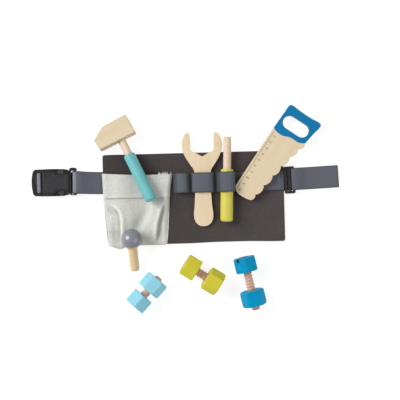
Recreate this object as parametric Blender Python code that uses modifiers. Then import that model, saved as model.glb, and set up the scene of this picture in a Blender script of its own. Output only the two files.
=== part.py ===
"""A child's tool belt lying closed on a flat surface, with its wooden tools.

X runs along the belt, Y from the apron's foot to its top edge, Z up.
Sizes below are in millimetres and are turned into metres when a shape is made.
"""

import math

import bpy
from mathutils import Matrix, Vector

MM = 0.001
GAP = 0.3

# The drawing's point that lies under the middle of the whole set, where the origin goes.
MIDDLE = (1.475, -1.133)

# Cloth and webbing.
WEB = 1.4
WEB_WIDTH = 32.0
LOOP_WIDTH = 30.0
BACK_WIDTH = 31.0
BACK_Z = 0.7
TUCK_Z = 2.4
LINING = (1.7, 3.0)
PANEL = (3.4, 4.8)
APRON_X = (-117.5, 142.0)
APRON_Y = (-49.5, 80.5)
APRON_SLANT = 8.0
BELT_Y = 38.0

# The two ends of the belt lie at a slight angle to the apron.
LEFT_END = (-118.0, 40.4, -1.6)
RIGHT_END = (142.0, 38.3, 2.3)

# The buckle lies square to the apron, so its strap bends a little beside it.
BUCKLE = (-219.0, 42.7, 0.0)

# Tools.
WRENCH_Z = (5.1, 10.1)
SAW_Z = (6.8, 14.8)
HAMMER_FOOT = (-89.0, 101.7, 14.3)
HAMMER_TURN = 25.3
HAMMER_RISE = 5.6
DRIVER_FOOT = (58.2, -19.5, 14.1)
DRIVER_TURN = -2.0
NAIL_FOOT = (-74.6, -85.5, 6.9)
NAIL_TURN = 3.3
NAIL_RISE = 23.0
SAW_TIP = (72.4, 28.9)
SAW_TURN = 55.1

# Bolts: a hexagon across flats, the thickness of head and nut, and the thread.
# Each bolt has its middle, turn, span to the nut, shank's end, slot's turn and color.
HEX_FLAT = 30.6
HEAD_THICK = 20.4
NUT_THICK = 22.4
THREAD_CREST = 6.2
THREAD_ROOT = 5.3
PITCH = 4.3
BOLTS = {
    "bolt_light_blue": ((-69.6, -129.0), 47.0, 30.1, 44.4, 90.0, (0.30, 0.66, 0.80)),
    "bolt_yellow": ((5.5, -83.2), -33.6, 37.5, 48.4, 90.0, (0.66, 0.60, 0.05)),
    "bolt_blue": ((83.1, -81.0), -77.9, 49.1, 66.5, 39.0, (0.00, 0.22, 0.48)),
}

WOOD = (0.76, 0.62, 0.43)
SLATE = (0.10, 0.11, 0.14)
BLACK = (0.02, 0.02, 0.022)


def fresh_scene():
    """Clears the scene and makes the collections for parts and cutters."""
    for obj in list(bpy.data.objects):
        bpy.data.objects.remove(obj)
    parts = bpy.data.collections.new("toy_tool_belt")
    cutters = bpy.data.collections.new("cutters")
    bpy.context.scene.collection.children.link(parts)
    bpy.context.scene.collection.children.link(cutters)
    cutters.hide_render = True
    return parts, cutters


PARTS, CUTTERS = fresh_scene()


def finish(obj, color, roughness=0.6, metallic=0.0):
    """Gives the object its own Principled material."""
    material = bpy.data.materials.new(obj.name + "_finish")
    material.use_nodes = True
    shader = material.node_tree.nodes["Principled BSDF"]
    shader.inputs["Base Color"].default_value = (*color, 1.0)
    shader.inputs["Roughness"].default_value = roughness
    shader.inputs["Metallic"].default_value = metallic
    obj.data.materials.clear()
    obj.data.materials.append(material)
    return obj


def end_frame(end):
    """The frame of one end of the belt: X along the webbing, origin at the apron's edge."""
    x, y, turn = end
    return Matrix.Translation((x * MM, y * MM, 0)) @ Matrix.Rotation(math.radians(turn), 4, "Z")


def tool_frame(foot, turn, rise):
    """A frame whose Y axis points up the tool, turned on the table and tipped up by rise degrees."""
    place = Matrix.Translation(Vector(foot) * MM)
    spin = Matrix.Rotation(math.radians(turn), 4, "Z")
    return place @ spin @ Matrix.Rotation(math.radians(rise), 4, "X")


def new_object(name, mesh, frame=None, collection=PARTS):
    """Places a mesh by its frame in the drawing, moved so that the origin is in the middle."""
    obj = bpy.data.objects.new(name, mesh)
    collection.objects.link(obj)
    to_origin = Matrix.Translation((-MIDDLE[0] * MM, -MIDDLE[1] * MM, 0))
    obj.matrix_world = to_origin @ (frame or Matrix.Identity(4))
    return obj


def bevel(obj, width, segments=1, angle=40.0):
    """Rounds the edges sharper than the angle."""
    mod = obj.modifiers.new("bevel", "BEVEL")
    mod.width = width * MM
    mod.segments = segments
    mod.limit_method = "ANGLE"
    mod.angle_limit = math.radians(angle)
    return obj


def plate(name, outlines, low, high, frame=None, collection=PARTS):
    """A flat plate from z low to high. The first outline is its edge and the others are holes."""
    curve = bpy.data.curves.new(name + "_outline", "CURVE")
    curve.dimensions = "2D"
    curve.fill_mode = "BOTH"
    curve.extrude = (high - low) / 2 * MM
    for outline in outlines:
        spline = curve.splines.new("POLY")
        spline.points.add(len(outline) - 1)
        spline.use_cyclic_u = True
        for point, (x, y) in zip(spline.points, outline):
            point.co = (x * MM, y * MM, 0, 1)
    drawn = bpy.data.objects.new(name + "_drawn", curve)
    collection.objects.link(drawn)
    bpy.context.view_layer.update()
    graph = bpy.context.evaluated_depsgraph_get()
    mesh = bpy.data.meshes.new_from_object(drawn.evaluated_get(graph))
    bpy.data.objects.remove(drawn)
    mesh.transform(Matrix.Translation((0, 0, (low + high) / 2 * MM)))
    obj = new_object(name, mesh, frame, collection)
    weld = obj.modifiers.new("weld", "WELD")
    weld.merge_threshold = 0.00001
    return obj


def box(name, low, high, frame=None, collection=PARTS):
    """A box between two corners."""
    corners = [(low[0], low[1]), (high[0], low[1]), (high[0], high[1]), (low[0], high[1])]
    return plate(name, [corners], low[2], high[2], frame, collection)


def turned(name, profile, steps, frame=None, collection=PARTS):
    """Turns a profile of (radius, z) round the local Z axis. It runs down the outer side."""
    mesh = bpy.data.meshes.new(name)
    points = [(radius * MM, 0, z * MM) for radius, z in profile]
    edges = [(i, i + 1) for i in range(len(points) - 1)]
    mesh.from_pydata(points, edges, [])
    obj = new_object(name, mesh, frame, collection)
    mod = obj.modifiers.new("turn", "SCREW")
    mod.axis = "Z"
    mod.steps = steps
    mod.render_steps = steps
    mod.use_merge_vertices = True
    mod.merge_threshold = 0.00001
    return obj


def loft(name, rings, frame=None):
    """A closed solid through rings of the same number of points."""
    count = len(rings[0])
    points = [Vector(point) * MM for ring in rings for point in ring]
    faces = [tuple(reversed(range(count)))]
    for row in range(len(rings) - 1):
        for i in range(count):
            j = (i + 1) % count
            low, high = row * count, (row + 1) * count
            faces.append((low + i, low + j, high + j, high + i))
    faces.append(tuple(range(len(points) - count, len(points))))
    mesh = bpy.data.meshes.new(name)
    mesh.from_pydata(points, [], faces)
    return new_object(name, mesh, frame)


def ribbon(name, path, width, frame=None):
    """A webbing strip along (x, z) or (x, z, y) points, thickened about its middle."""
    points = []
    for x, z, *drift in path:
        middle = drift[0] if drift else 0.0
        points.append((x * MM, (middle - width / 2) * MM, z * MM))
        points.append((x * MM, (middle + width / 2) * MM, z * MM))
    faces = [(2 * i, 2 * i + 2, 2 * i + 3, 2 * i + 1) for i in range(len(path) - 1)]
    mesh = bpy.data.meshes.new(name)
    mesh.from_pydata(points, [], faces)
    obj = new_object(name, mesh, frame)
    mod = obj.modifiers.new("thickness", "SOLIDIFY")
    mod.thickness = WEB * MM
    mod.offset = 0.0
    mod.use_even_offset = True
    return obj


def combine(obj, other, operation):
    """Cuts the other shape away, or joins it on."""
    mod = obj.modifiers.new(other.name, "BOOLEAN")
    mod.operation = operation
    mod.object = other
    mod.solver = "EXACT"
    other.display_type = "WIRE"
    return obj


def cut(obj, other):
    return combine(obj, other, "DIFFERENCE")


def join(obj, other):
    return combine(obj, other, "UNION")


def arc(middle, radius, start, stop, count):
    """Points along an arc, angles in degrees."""
    angles = [math.radians(start + (stop - start) * i / (count - 1)) for i in range(count)]
    return [(middle[0] + radius * math.cos(a), middle[1] + radius * math.sin(a)) for a in angles]


def rounded(x, y, radius, count=3):
    """A rectangle with rounded corners."""
    corners = [(x[1], y[0], -90), (x[1], y[1], 0), (x[0], y[1], 90), (x[0], y[0], 180)]
    points = []
    for cx, cy, start in corners:
        middle = (cx - math.copysign(radius, cx - sum(x) / 2), cy - math.copysign(radius, cy - sum(y) / 2))
        points += arc(middle, radius, start, start + 90, count)
    return points


def apron():
    """The front panel, and a lining notched at both sides where the belt's ends are sewn in.

    The lower left edge slants in under the pocket.
    """
    (left, right), (bottom, top) = APRON_X, APRON_Y
    slant = [(left + APRON_SLANT, bottom), (left, 12.0)]
    corners = rounded(APRON_X, APRON_Y, 3.0)
    front = plate("apron_front", [corners[:9] + [slant[1], slant[0]]], *PANEL)
    finish(bevel(front, 0.4), (0.071, 0.060, 0.058), 0.9)
    left, right, bottom, top = left + 1, right - 1, bottom + 1, top - 1
    low, high = BELT_Y - 18.5, BELT_Y + 20.0
    outline = [
        (left + APRON_SLANT, bottom), (right, bottom), (right, low), (right - 16, low), (right - 16, high),
        (right, high), (right, top), (left, top), (left, high), (left + 16, high),
        (left + 16, low), (left, low), (left, 12.0),
    ]
    finish(plate("apron_lining", [outline], *LINING), (0.05, 0.045, 0.045), 0.9)


def pocket():
    """An open-topped pocket sewn to the panel down both sides and along the bottom."""
    across = [0.0, 0.02, 0.05, 0.09, 0.2, 0.35, 0.5, 0.65, 0.8, 0.91, 0.95, 0.98, 1.0]
    rows = [
        (-50.5, -105.0, -31.0, 0.0), (-49.0, -110.5, -27.3, 0.4), (-45.0, -112.6, -26.7, 0.9),
        (-37.0, -113.4, -26.0, 1.7), (-26.0, -114.4, -25.0, 3.0), (-10.0, -115.6, -24.0, 4.2),
        (10.0, -117.0, -22.8, 4.4), (30.0, -118.0, -21.0, 4.3), (51.3, -118.7, -17.6, 4.2),
    ]
    seam = PANEL[1] + GAP + 0.65
    points = []
    for y, left, right, height in rows:
        for u in across:
            side = min(1.0, min(u, 1 - u) / 0.05)
            swell = math.sin(side * math.pi / 2)
            sag = 1.2 * max(0.0, y / 51.3) ** 3 * math.sin(math.pi * u)
            drop = 3.0 * math.exp(-(((u - 0.12) / 0.14) ** 2)) if y < -48 else 0.0
            x = left + (right - left) * u
            points.append((x * MM, (y - sag - drop) * MM, (seam + height * swell) * MM))
    count = len(across)
    faces = []
    for row in range(len(rows) - 1):
        for i in range(count - 1):
            low, high = row * count + i, (row + 1) * count + i
            faces.append((low, low + 1, high + 1, high))
    mesh = bpy.data.meshes.new("pocket")
    mesh.from_pydata(points, [], faces)
    obj = new_object("pocket", mesh)
    mod = obj.modifiers.new("thickness", "SOLIDIFY")
    mod.thickness = 1.3 * MM
    mod.offset = 0.0
    mod.use_even_offset = True
    finish(obj, (0.55, 0.57, 0.53), 0.9)


def belt_webbing():
    """The looped front strip, the belt's two ends and the run behind the apron."""
    flat = PANEL[1] + GAP + WEB / 2
    loops = [
        (-16.6, flat), (-14.6, flat), (-13.2, 7.6), (-12.0, 12.2), (-9.0, 15.2), (-3.0, 16.4),
        (1.6, 15.2), (4.0, 12.2), (5.1, 7.6), (6.4, flat), (9.2, flat),
        (10.3, 7.0), (10.7, 10.2), (12.6, 11.8), (17.5, 13.0), (26.0, 13.4), (35.0, 13.0),
        (39.2, 11.8), (41.1, 10.2), (41.5, 7.0), (42.6, flat), (47.4, flat),
        (49.2, 7.4), (49.4, 15.0), (50.2, 22.8), (53.6, 26.6), (59.8, 27.7), (66.6, 26.6),
        (70.2, 23.3), (71.0, 15.0), (71.1, 7.2), (72.4, flat), (141.4, flat),
    ]
    place = Matrix.Translation((0, BELT_Y * MM, 0))
    finish(ribbon("webbing_loops", loops, LOOP_WIDTH, place), SLATE, 0.85)

    left = [
        (13.0, TUCK_Z), (-2.0, TUCK_Z), (-12.0, 3.4), (-24.0, 7.2), (-32.4, 10.2), (-40.0, 10.2),
        (-42.2, 9.3), (-42.8, 6.9), (-42.2, 4.4), (-40.2, 3.4), (-32.0, 2.9), (-22.0, TUCK_Z),
    ]
    finish(ribbon("strap_left", left, WEB_WIDTH, end_frame(LEFT_END)), SLATE, 0.85)

    right = [
        (-14.0, TUCK_Z), (9.0, TUCK_Z), (10.8, 2.9), (11.3, 4.4), (11.7, 6.0), (13.0, 6.9), (16.8, 7.0),
        (23.0, 5.4), (33.0, 2.7), (60.0, 2.6), (71.5, 3.2), (76.8, 3.3), (78.3, 2.3),
        (78.1, 1.2), (76.6, BACK_Z), (60.0, BACK_Z),
    ]
    finish(ribbon("strap_right", right, WEB_WIDTH, end_frame(RIGHT_END)), SLATE, 0.85)

    frame = end_frame(LEFT_END)
    turn = end_frame(RIGHT_END)
    near = turn @ Vector((58.9 * MM, 0, 0))
    under = [(-92.8, BACK_Z), (-94.1, 1.5), (-94.5, 3.0), (-94.0, 4.5), (-92.4, 5.3)]
    over = [(-89.8, 5.1), (-88.0, 3.4), (-87.0, 2.3), (-80.0, 2.3), (-68.0, 2.3)]
    path = [(near.x / MM, BACK_Z, near.y / MM), (142.0, BACK_Z, 38.3), (0.0, BACK_Z, 39.6)]
    path.append((-118.0, BACK_Z, 40.4))
    for x, z in under + over:
        point = frame @ Vector((x * MM, 0, 0))
        path.append((point.x / MM, z, point.y / MM))
    finish(ribbon("strap_back", path, BACK_WIDTH), SLATE, 0.85)


def buckle():
    """A side-release buckle, fastened: the socket, the prong's base and its two springy arms."""
    frame = end_frame(BUCKLE)
    half = [
        (0.3, 0.0), (0.7, -9.0), (2.3, -16.4), (5.0, -19.0), (20.0, -19.2), (22.5, -19.5),
        (46.0, -19.2), (51.4, -18.3), (53.6, -15.8),
    ]
    outline = half + [(x, -y) for x, y in reversed(half[1:])]
    socket = plate("buckle_socket", [outline], 3.4, 13.0, frame)
    cut(socket, box("socket_slot", (5.2, -16.4, 1), (15.0, 16.4, 15), frame, CUTTERS))
    cut(socket, box("socket_cavity", (24.0, -13.2, 5.3), (58.0, 13.2, 11.1), frame, CUTTERS))
    for side in (-1, 1):
        y = sorted((side * 12.8, side * 22.0))
        name = "socket_window_%d" % side
        cut(socket, box(name, (36.8, y[0], 1), (47.2, y[1], 15), frame, CUTTERS))
    join(socket, box("socket_bar", (8.2, -17.0, 2.0), (10.7, 17.0, 4.1), frame, CUTTERS))
    finish(socket, BLACK, 0.35)

    base = [
        (54.0, -15.4), (55.0, -18.9), (64.6, -18.9), (64.6, -17.6), (56.6, -17.6),
        (56.6, 17.4), (64.6, 17.4), (64.6, 20.7), (55.0, 20.7), (54.0, 16.9),
    ]
    prong = plate("buckle_prong", [base], 4.3, 12.2, frame)
    join(prong, box("prong_bar", (60.0, -18.2, 5.1), (63.8, 18.6, 8.3), frame, CUTTERS))
    join(prong, box("prong_tongue", (28.0, -3.0, 6.0), (55.8, 3.0, 10.4), frame, CUTTERS))
    finish(prong, BLACK, 0.35)

    for name, side in (("latch_arm_upper", 1), ("latch_arm_lower", -1)):
        place = frame @ Matrix.Translation((54.2 * MM, side * 9.5 * MM, 0))
        arm = [
            (-0.4, -1.5), (-0.4, 1.5), (-7.6, 3.0), (-8.2, 6.4), (-10.2, 9.0), (-15.0, 9.0),
            (-16.8, 6.4), (-17.0, 3.2), (-18.2, 2.6), (-18.2, -2.1), (-12.0, -1.5),
        ]
        shape = plate(name, [[(x, side * y) for x, y in arm]], 5.9, 10.5, place)
        finish(shape, BLACK, 0.35)


def slider():
    """A three-bar slider beside the apron's edge."""
    frame = end_frame(RIGHT_END)
    slots = [rounded(x, (-17.7, 16.4), 0.8, 2) for x in ((4.2, 6.6), (9.8, 12.8))]
    edge = rounded((1.3, 16.8), (-20.4, 18.6), 2.6, 4)
    obj = plate("slider", [edge] + slots, 3.4, 5.8, frame)
    finish(bevel(obj, 0.5), BLACK, 0.4)


def hammer():
    """A cut block on a dowel, with a turned and dipped grip."""
    frame = tool_frame(HAMMER_FOOT, HAMMER_TURN, -HAMMER_RISE)
    head = [(22.9, -1.4), (21.4, 28.1), (-16.6, 26.8), (-35.1, 14.7), (-33.7, -1.4)]
    obj = plate("hammer_head", [list(reversed(head))], -11.0, 11.0, frame)
    bevel(obj, 1.2, 2)
    down = frame @ Matrix.Rotation(math.radians(90), 4, "X")
    cut(obj, turned("head_bore", [(0, 5), (5.9, 5), (5.9, -18), (0, -18)], 16, down, CUTTERS))
    finish(obj, WOOD, 0.6)
    dowel = [(0, 44.0), (5.0, 44.0), (5.6, 43.2), (5.6, -17.0), (5.0, -17.6), (0, -17.6)]
    finish(turned("hammer_dowel", dowel, 16, down), WOOD, 0.6)
    grip = [
        (0, 44.6), (5.9, 44.6), (5.9, 24.8), (7.5, 24.8), (8.4, 26.4), (8.4, 94.4),
        (7.4, 97.0), (4.8, 98.0), (0, 98.2),
    ]
    finish(turned("hammer_grip", list(reversed(grip)), 20, down), (0.10, 0.50, 0.50), 0.4)


def wrench():
    """An open-ended wrench cut from plywood."""
    right = [
        (0.2, 74.6), (9.4, 79.8), (15.6, 82.8), (16.5, 84.8), (16.7, 101.0), (17.5, 107.2),
        (20.0, 109.4), (23.4, 107.4), (26.4, 102.6), (28.9, 94.6), (28.8, 88.0), (26.6, 80.0), (22.2, 71.0),
        (16.4, 62.0), (12.4, 56.0), (11.6, 50.0), (11.0, 38.0), (11.3, 24.0), (12.6, 4.0),
        (13.9, -9.0), (13.2, -15.0), (10.2, -20.6), (5.6, -24.2), (0.0, -25.3),
    ]
    left = [(-x, y) for x, y in reversed(right[1:-1])]
    outline = [(x + 25.75, y) for x, y in right + left]
    obj = plate("wrench", [outline], *WRENCH_Z)
    finish(bevel(obj, 0.7, 1, 30), WOOD, 0.6)


def ring(radius, z, flat=1.0, count=16):
    return [
        (radius * math.cos(math.tau * i / count), flat * radius * math.sin(math.tau * i / count), z)
        for i in range(count)
    ]


def screwdriver():
    """A dowel with a flattened tip, glued into a turned handle."""
    frame = tool_frame(DRIVER_FOOT, DRIVER_TURN, 0.0) @ Matrix.Rotation(math.radians(-90), 4, "X")
    handle = [
        (0, 52.0), (5.95, 52.0), (5.95, 73.6), (6.6, 73.6), (7.2, 73.2), (9.0, 69.8), (9.0, 3.0),
        (7.6, 0.6), (5.2, 0), (0, 0),
    ]
    finish(turned("screwdriver_handle", handle, 20, frame), (0.62, 0.54, 0.03), 0.4)
    rings = [ring(5.6, 52.4), ring(5.6, 112.4), ring(5.5, 117.2, 0.75), ring(5.2, 121.3, 0.32)]
    finish(loft("screwdriver_blade", rings, frame), WOOD, 0.6)


def saw():
    """A handsaw cut from one sheet, with a hand slot and six rounded teeth."""
    place = Matrix.Translation((SAW_TIP[0] * MM, SAW_TIP[1] * MM, 0))
    frame = place @ Matrix.Rotation(math.radians(SAW_TURN), 4, "Z")
    notches = [
        (7.4, -29.0), (24.6, -31.2), (43.1, -34.2), (60.5, -36.6), (78.8, -40.3), (95.6, -43.7),
        (106.3, -47.6),
    ]
    outline = [(3.0, 1.6), (-0.8, -0.8), (-3.6, -3.2), (-5.5, -9.0), (-4.4, -24.0), (-2.8, -28.4)]
    outline += [(0.6, -30.6), (4.6, -30.7)]
    for start, stop in zip(notches, notches[1:]):
        a, b = Vector(start), Vector(stop)
        out = Vector(((b - a).y, -(b - a).x)).normalized()
        outline.append(start)
        for t, swell in ((0.12, 1.9), (0.35, 3.8), (0.65, 3.7), (0.88, 1.8)):
            outline.append(tuple(a.lerp(b, t) + out * swell))
    outline += [
        (106.3, -48.2), (125.0, -50.9), (138.6, -53.2), (141.9, -52.4), (142.6, -48.2),
        (141.4, -27.0), (142.6, -3.8), (141.6, -0.3), (138.4, 0.7), (99.8, 1.8),
    ]
    slot = arc((119.6, -13.4), 9.7, 0, 180, 7) + arc((119.6, -34.4), 9.7, 180, 360, 7)
    obj = plate("saw", [outline, slot], *SAW_Z, frame)
    finish(bevel(obj, 0.6, 1, 35), WOOD, 0.6)


def nail():
    """A turned head glued on a shouldered dowel, leaning on the pocket."""
    frame = tool_frame(NAIL_FOOT, NAIL_TURN, NAIL_RISE) @ Matrix.Rotation(math.radians(-90), 4, "X")
    shank = [
        (0, 51.7), (4.0, 51.7), (4.0, 40.7), (8.6, 40.7), (8.6, 37.0), (6.8, 35.2), (6.6, 4.0),
        (5.6, 0.7), (4.2, 0), (0, 0),
    ]
    finish(turned("nail_shank", shank, 16, frame), WOOD, 0.6)
    head = [
        (0, 52.0), (4.3, 52.0), (4.3, 41.0), (12.6, 41.0), (14.8, 44.0), (14.8, 49.0),
        (12.8, 55.6), (9.4, 60.3), (4.6, 63.0), (0, 63.6),
    ]
    finish(turned("nail_head", list(reversed(head)), 20, frame), (0.21, 0.21, 0.26), 0.35)


def bolt_frame(middle, turn, span):
    """Z along the bolt from head to nut, Y up. The head stands on a corner and the nut on a flat."""
    corner = HEX_FLAT / math.sqrt(3)
    tip = math.asin((corner - HEX_FLAT / 2) / span)
    high = corner * math.cos(tip) + NUT_THICK / 2 * math.sin(tip) + GAP
    flat = Vector((math.cos(math.radians(turn)), math.sin(math.radians(turn)), 0))
    axis = flat * math.cos(tip) - Vector((0, 0, math.sin(tip)))
    side = Vector((-flat.y, flat.x, 0))
    up = axis.cross(side)
    frame = Matrix((side, up, axis)).transposed().to_4x4()
    frame.translation = Vector((*middle, high)) * MM
    return frame


def hexagon(first):
    corner = HEX_FLAT / math.sqrt(3)
    angles = [math.radians(first + 60 * i) for i in range(6)]
    return [(corner * math.cos(a), corner * math.sin(a)) for a in angles]


def thread_ring(z):
    """A thread's cross-section at one height, a right-hand helix."""
    points = []
    for i in range(14):
        turn = i / 14
        wave = abs(((z / PITCH - turn) % 1.0) * 2 - 1)
        radius = THREAD_ROOT + (THREAD_CREST - THREAD_ROOT) * wave
        points.append((radius * math.cos(math.tau * turn), radius * math.sin(math.tau * turn), z))
    return points


def bolt(name, middle, turn, span, end, slot_turn, color):
    """A hexagonal head with a screwdriver slot, a threaded dowel glued into it, and a nut."""
    frame = bolt_frame(middle, turn, span)
    half = HEAD_THICK / 2
    head = plate(name + "_head", [hexagon(30)], -half, half, frame)
    bevel(head, 0.8)
    bore = [(0, half + 2), (THREAD_ROOT + GAP, half + 2), (THREAD_ROOT + GAP, -2), (0, -2)]
    cut(head, turned(name + "_bore", bore, 14, frame, CUTTERS))
    slot = frame @ Matrix.Rotation(math.radians(slot_turn), 4, "Z")
    cut(head, box(name + "_slot", (-1.7, -20, -half - 2), (1.7, 20, -half + 4.5), slot, CUTTERS))
    finish(head, color, 0.35)

    rows = int((end - half) / PITCH * 4)
    tenon = [ring(THREAD_ROOT - 0.1, -1.6, 1.0, 14), ring(THREAD_ROOT - 0.1, half + 0.2, 1.0, 14)]
    threads = [thread_ring(half + 0.8 + (end - 1.2 - half) * i / rows) for i in range(rows + 1)]
    tip = [ring(THREAD_ROOT - 0.6, end, 1.0, 14)]
    finish(loft(name + "_shank", tenon + threads + tip, frame), (0.68, 0.47, 0.27), 0.6)

    place = frame @ Matrix.Translation((0, 0, span * MM))
    half = NUT_THICK / 2
    nut = plate(name + "_nut", [hexagon(0)], -half, half, place)
    bevel(nut, 0.8)
    clear = THREAD_CREST + GAP + 0.15
    through = [(0, half + 2), (clear, half + 2), (clear, -half - 2), (0, -half - 2)]
    cut(nut, turned(name + "_nut_bore", through, 16, place, CUTTERS))
    finish(nut, color, 0.35)


def build():
    apron()
    pocket()
    belt_webbing()
    buckle()
    slider()
    hammer()
    wrench()
    screwdriver()
    saw()
    nail()
    for name, values in BOLTS.items():
        bolt(name, *values)


build()
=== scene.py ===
"""Looks for the toy tool belt: a closed waist belt with an apron, and its wooden tools.

Sizes are in millimetres in the same drawing as the CAD part, and every piece is placed by the
same frames. X runs along the belt, Y from the apron's foot to its top edge, Z up.
"""

import math
import random

import bmesh
import bpy
from mathutils import Matrix, Vector, noise


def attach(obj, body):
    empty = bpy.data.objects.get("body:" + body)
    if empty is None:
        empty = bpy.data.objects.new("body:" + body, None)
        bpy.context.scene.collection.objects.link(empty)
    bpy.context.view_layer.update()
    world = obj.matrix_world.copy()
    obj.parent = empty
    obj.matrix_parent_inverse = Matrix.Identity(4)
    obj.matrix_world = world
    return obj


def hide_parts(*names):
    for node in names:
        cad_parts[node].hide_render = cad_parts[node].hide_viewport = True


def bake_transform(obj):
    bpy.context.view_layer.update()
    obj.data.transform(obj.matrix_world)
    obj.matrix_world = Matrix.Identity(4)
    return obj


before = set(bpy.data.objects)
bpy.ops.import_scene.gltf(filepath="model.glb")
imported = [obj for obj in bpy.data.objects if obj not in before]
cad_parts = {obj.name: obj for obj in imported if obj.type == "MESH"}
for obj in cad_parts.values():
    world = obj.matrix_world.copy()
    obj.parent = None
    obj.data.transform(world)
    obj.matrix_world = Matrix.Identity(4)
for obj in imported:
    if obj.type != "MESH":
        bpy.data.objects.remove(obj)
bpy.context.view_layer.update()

MM = 0.001
MIDDLE = (1.475, -1.133)
TO_ROW = Matrix.Translation((-MIDDLE[0] * MM, -MIDDLE[1] * MM, 0))

# Cloth and webbing.
WEB = 1.4
WEB_WIDTH = 32.0
LOOP_WIDTH = 28.6
BACK_WIDTH = 31.0
BACK_Z = 0.7
TUCK_Z = 2.4
LINING = (1.7, 3.0)
PANEL = (3.4, 4.8)
APRON_X = (-117.5, 142.0)
APRON_Y = (-49.5, 80.5)
APRON_SLANT = 8.0
BELT_Y = 38.0
POCKET_SEAM = 5.75

# The belt's two ends.
LEFT_END = (-118.0, 40.4, -1.6)
RIGHT_END = (142.0, 38.3, 2.3)
BUCKLE = (-219.0, 42.7, 0.0)

# Tools.
WRENCH_Z = (5.1, 10.1)
SAW_Z = (6.8, 14.8)
HAMMER = ((-89.0, 101.7, 14.3), 25.3, -5.6)
DRIVER = ((58.2, -19.5, 14.1), -2.0, 0.0)
NAIL = ((-74.6, -85.5, 6.9), 3.3, 23.0)
SAW_TIP = (72.4, 28.9)
SAW_TURN = 55.1

# Bolts: middle, turn, span to the nut, shank's end, the slot's turn from upright, paint.
HEX_FLAT = 30.6
HEAD_THICK = 20.4
NUT_THICK = 22.4
THREAD_CREST = 6.2
THREAD_ROOT = 5.3
PITCH = 4.3
BOLTS = {
    "bolt_light_blue": ((-69.6, -129.0), 47.0, 30.1, 44.4, 90.0),
    "bolt_yellow": ((5.5, -83.2), -33.6, 37.5, 48.4, 90.0),
    "bolt_blue": ((83.1, -81.0), -77.9, 49.1, 66.5, 39.0),
}

dice = random.Random(7)


# ---------------------------------------------------------------- materials


def srgb(red, green, blue):
    """A colour as it is seen, from 0 to 255, as linear values."""
    values = [channel / 255 for channel in (red, green, blue)]
    linear = [v / 12.92 if v <= 0.04045 else ((v + 0.055) / 1.055) ** 2.4 for v in values]
    return (*linear, 1.0)


class Look:
    """A material made node by node. Inputs are sockets or plain values, and lengths are in mm."""

    def __init__(self, name):
        self.material = bpy.data.materials.new(name)
        self.material.use_nodes = True
        self.tree = self.material.node_tree
        self.shader = self.tree.nodes["Principled BSDF"]

    def node(self, kind, **settings):
        made = self.tree.nodes.new(kind)
        for key, value in settings.items():
            setattr(made, key, value)
        return made

    def feed(self, socket, value):
        if isinstance(value, bpy.types.NodeSocket):
            self.tree.links.new(value, socket)
        else:
            socket.default_value = value

    def position(self, stretch=(1, 1, 1), turn=(0, 0, 0)):
        """Where a point is on the piece itself, stretched and turned."""
        coords = self.node("ShaderNodeTexCoord")
        mapping = self.node("ShaderNodeMapping")
        self.feed(mapping.inputs["Vector"], coords.outputs["Object"])
        mapping.inputs["Scale"].default_value = [value / MM for value in stretch]
        mapping.inputs["Rotation"].default_value = [math.radians(angle) for angle in turn]
        return mapping.outputs[0]

    def along(self, stretch=(1, 1, 1)):
        """Where a point is along and across a strip of webbing."""
        coords = self.node("ShaderNodeUVMap", uv_map="weave")
        mapping = self.node("ShaderNodeMapping")
        self.feed(mapping.inputs["Vector"], coords.outputs["UV"])
        mapping.inputs["Scale"].default_value = stretch
        return mapping.outputs[0]

    def upward(self):
        """1 where the surface faces straight up or down, and 0 where it is upright."""
        coords = self.node("ShaderNodeTexCoord")
        return self.math("ABSOLUTE", self.split(coords.outputs["Normal"])[2])

    def split(self, vector):
        made = self.node("ShaderNodeSeparateXYZ")
        self.feed(made.inputs[0], vector)
        return made.outputs

    def math(self, operation, *values):
        made = self.node("ShaderNodeMath", operation=operation)
        for socket, value in zip(made.inputs, values):
            self.feed(socket, value)
        return made.outputs[0]

    def noise(self, vector, size, detail=2.0, roughness=0.5):
        """Noise whose lumps are about size across."""
        made = self.node("ShaderNodeTexNoise")
        self.feed(made.inputs["Vector"], vector)
        made.inputs["Scale"].default_value = 1 / size
        made.inputs["Detail"].default_value = detail
        made.inputs["Roughness"].default_value = roughness
        return made.outputs["Fac"]

    def ramp(self, value, low, high, start=0.0, stop=1.0):
        """Maps start to stop onto low to high, held at both ends."""
        made = self.node("ShaderNodeMapRange", clamp=True)
        for key, number in (("From Min", low), ("From Max", high), ("To Min", start), ("To Max", stop)):
            made.inputs[key].default_value = number
        self.feed(made.inputs["Value"], value)
        return made.outputs[0]

    def mix(self, factor, first, second, blend="MIX"):
        made = self.node("ShaderNodeMix", data_type="RGBA", blend_type=blend, clamp_factor=True)
        self.feed(made.inputs[0], factor)
        self.feed(made.inputs[6], first)
        self.feed(made.inputs[7], second)
        return made.outputs[2]

    def shade(self, color, factor, low, high):
        """Multiplies a colour by low where the factor is 0 and by high where it is 1."""
        grey = self.ramp(factor, 0.0, 1.0, low, high)
        made = self.node("ShaderNodeCombineColor")
        for socket in made.inputs:
            self.feed(socket, grey)
        return self.mix(1.0, color, made.outputs[0], "MULTIPLY")

    def bump(self, height, depth, strength=1.0, normal=None):
        made = self.node("ShaderNodeBump")
        made.inputs["Strength"].default_value = strength
        made.inputs["Distance"].default_value = depth * MM
        self.feed(made.inputs["Height"], height)
        if normal is not None:
            self.feed(made.inputs["Normal"], normal)
        return made.outputs[0]

    def done(self, color, roughness, normal=None, **others):
        self.feed(self.shader.inputs["Base Color"], color)
        self.feed(self.shader.inputs["Roughness"], roughness)
        if normal is not None:
            self.feed(self.shader.inputs["Normal"], normal)
        for key, value in others.items():
            self.feed(self.shader.inputs[key.replace("_", " ")], value)
        return self.material


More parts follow.
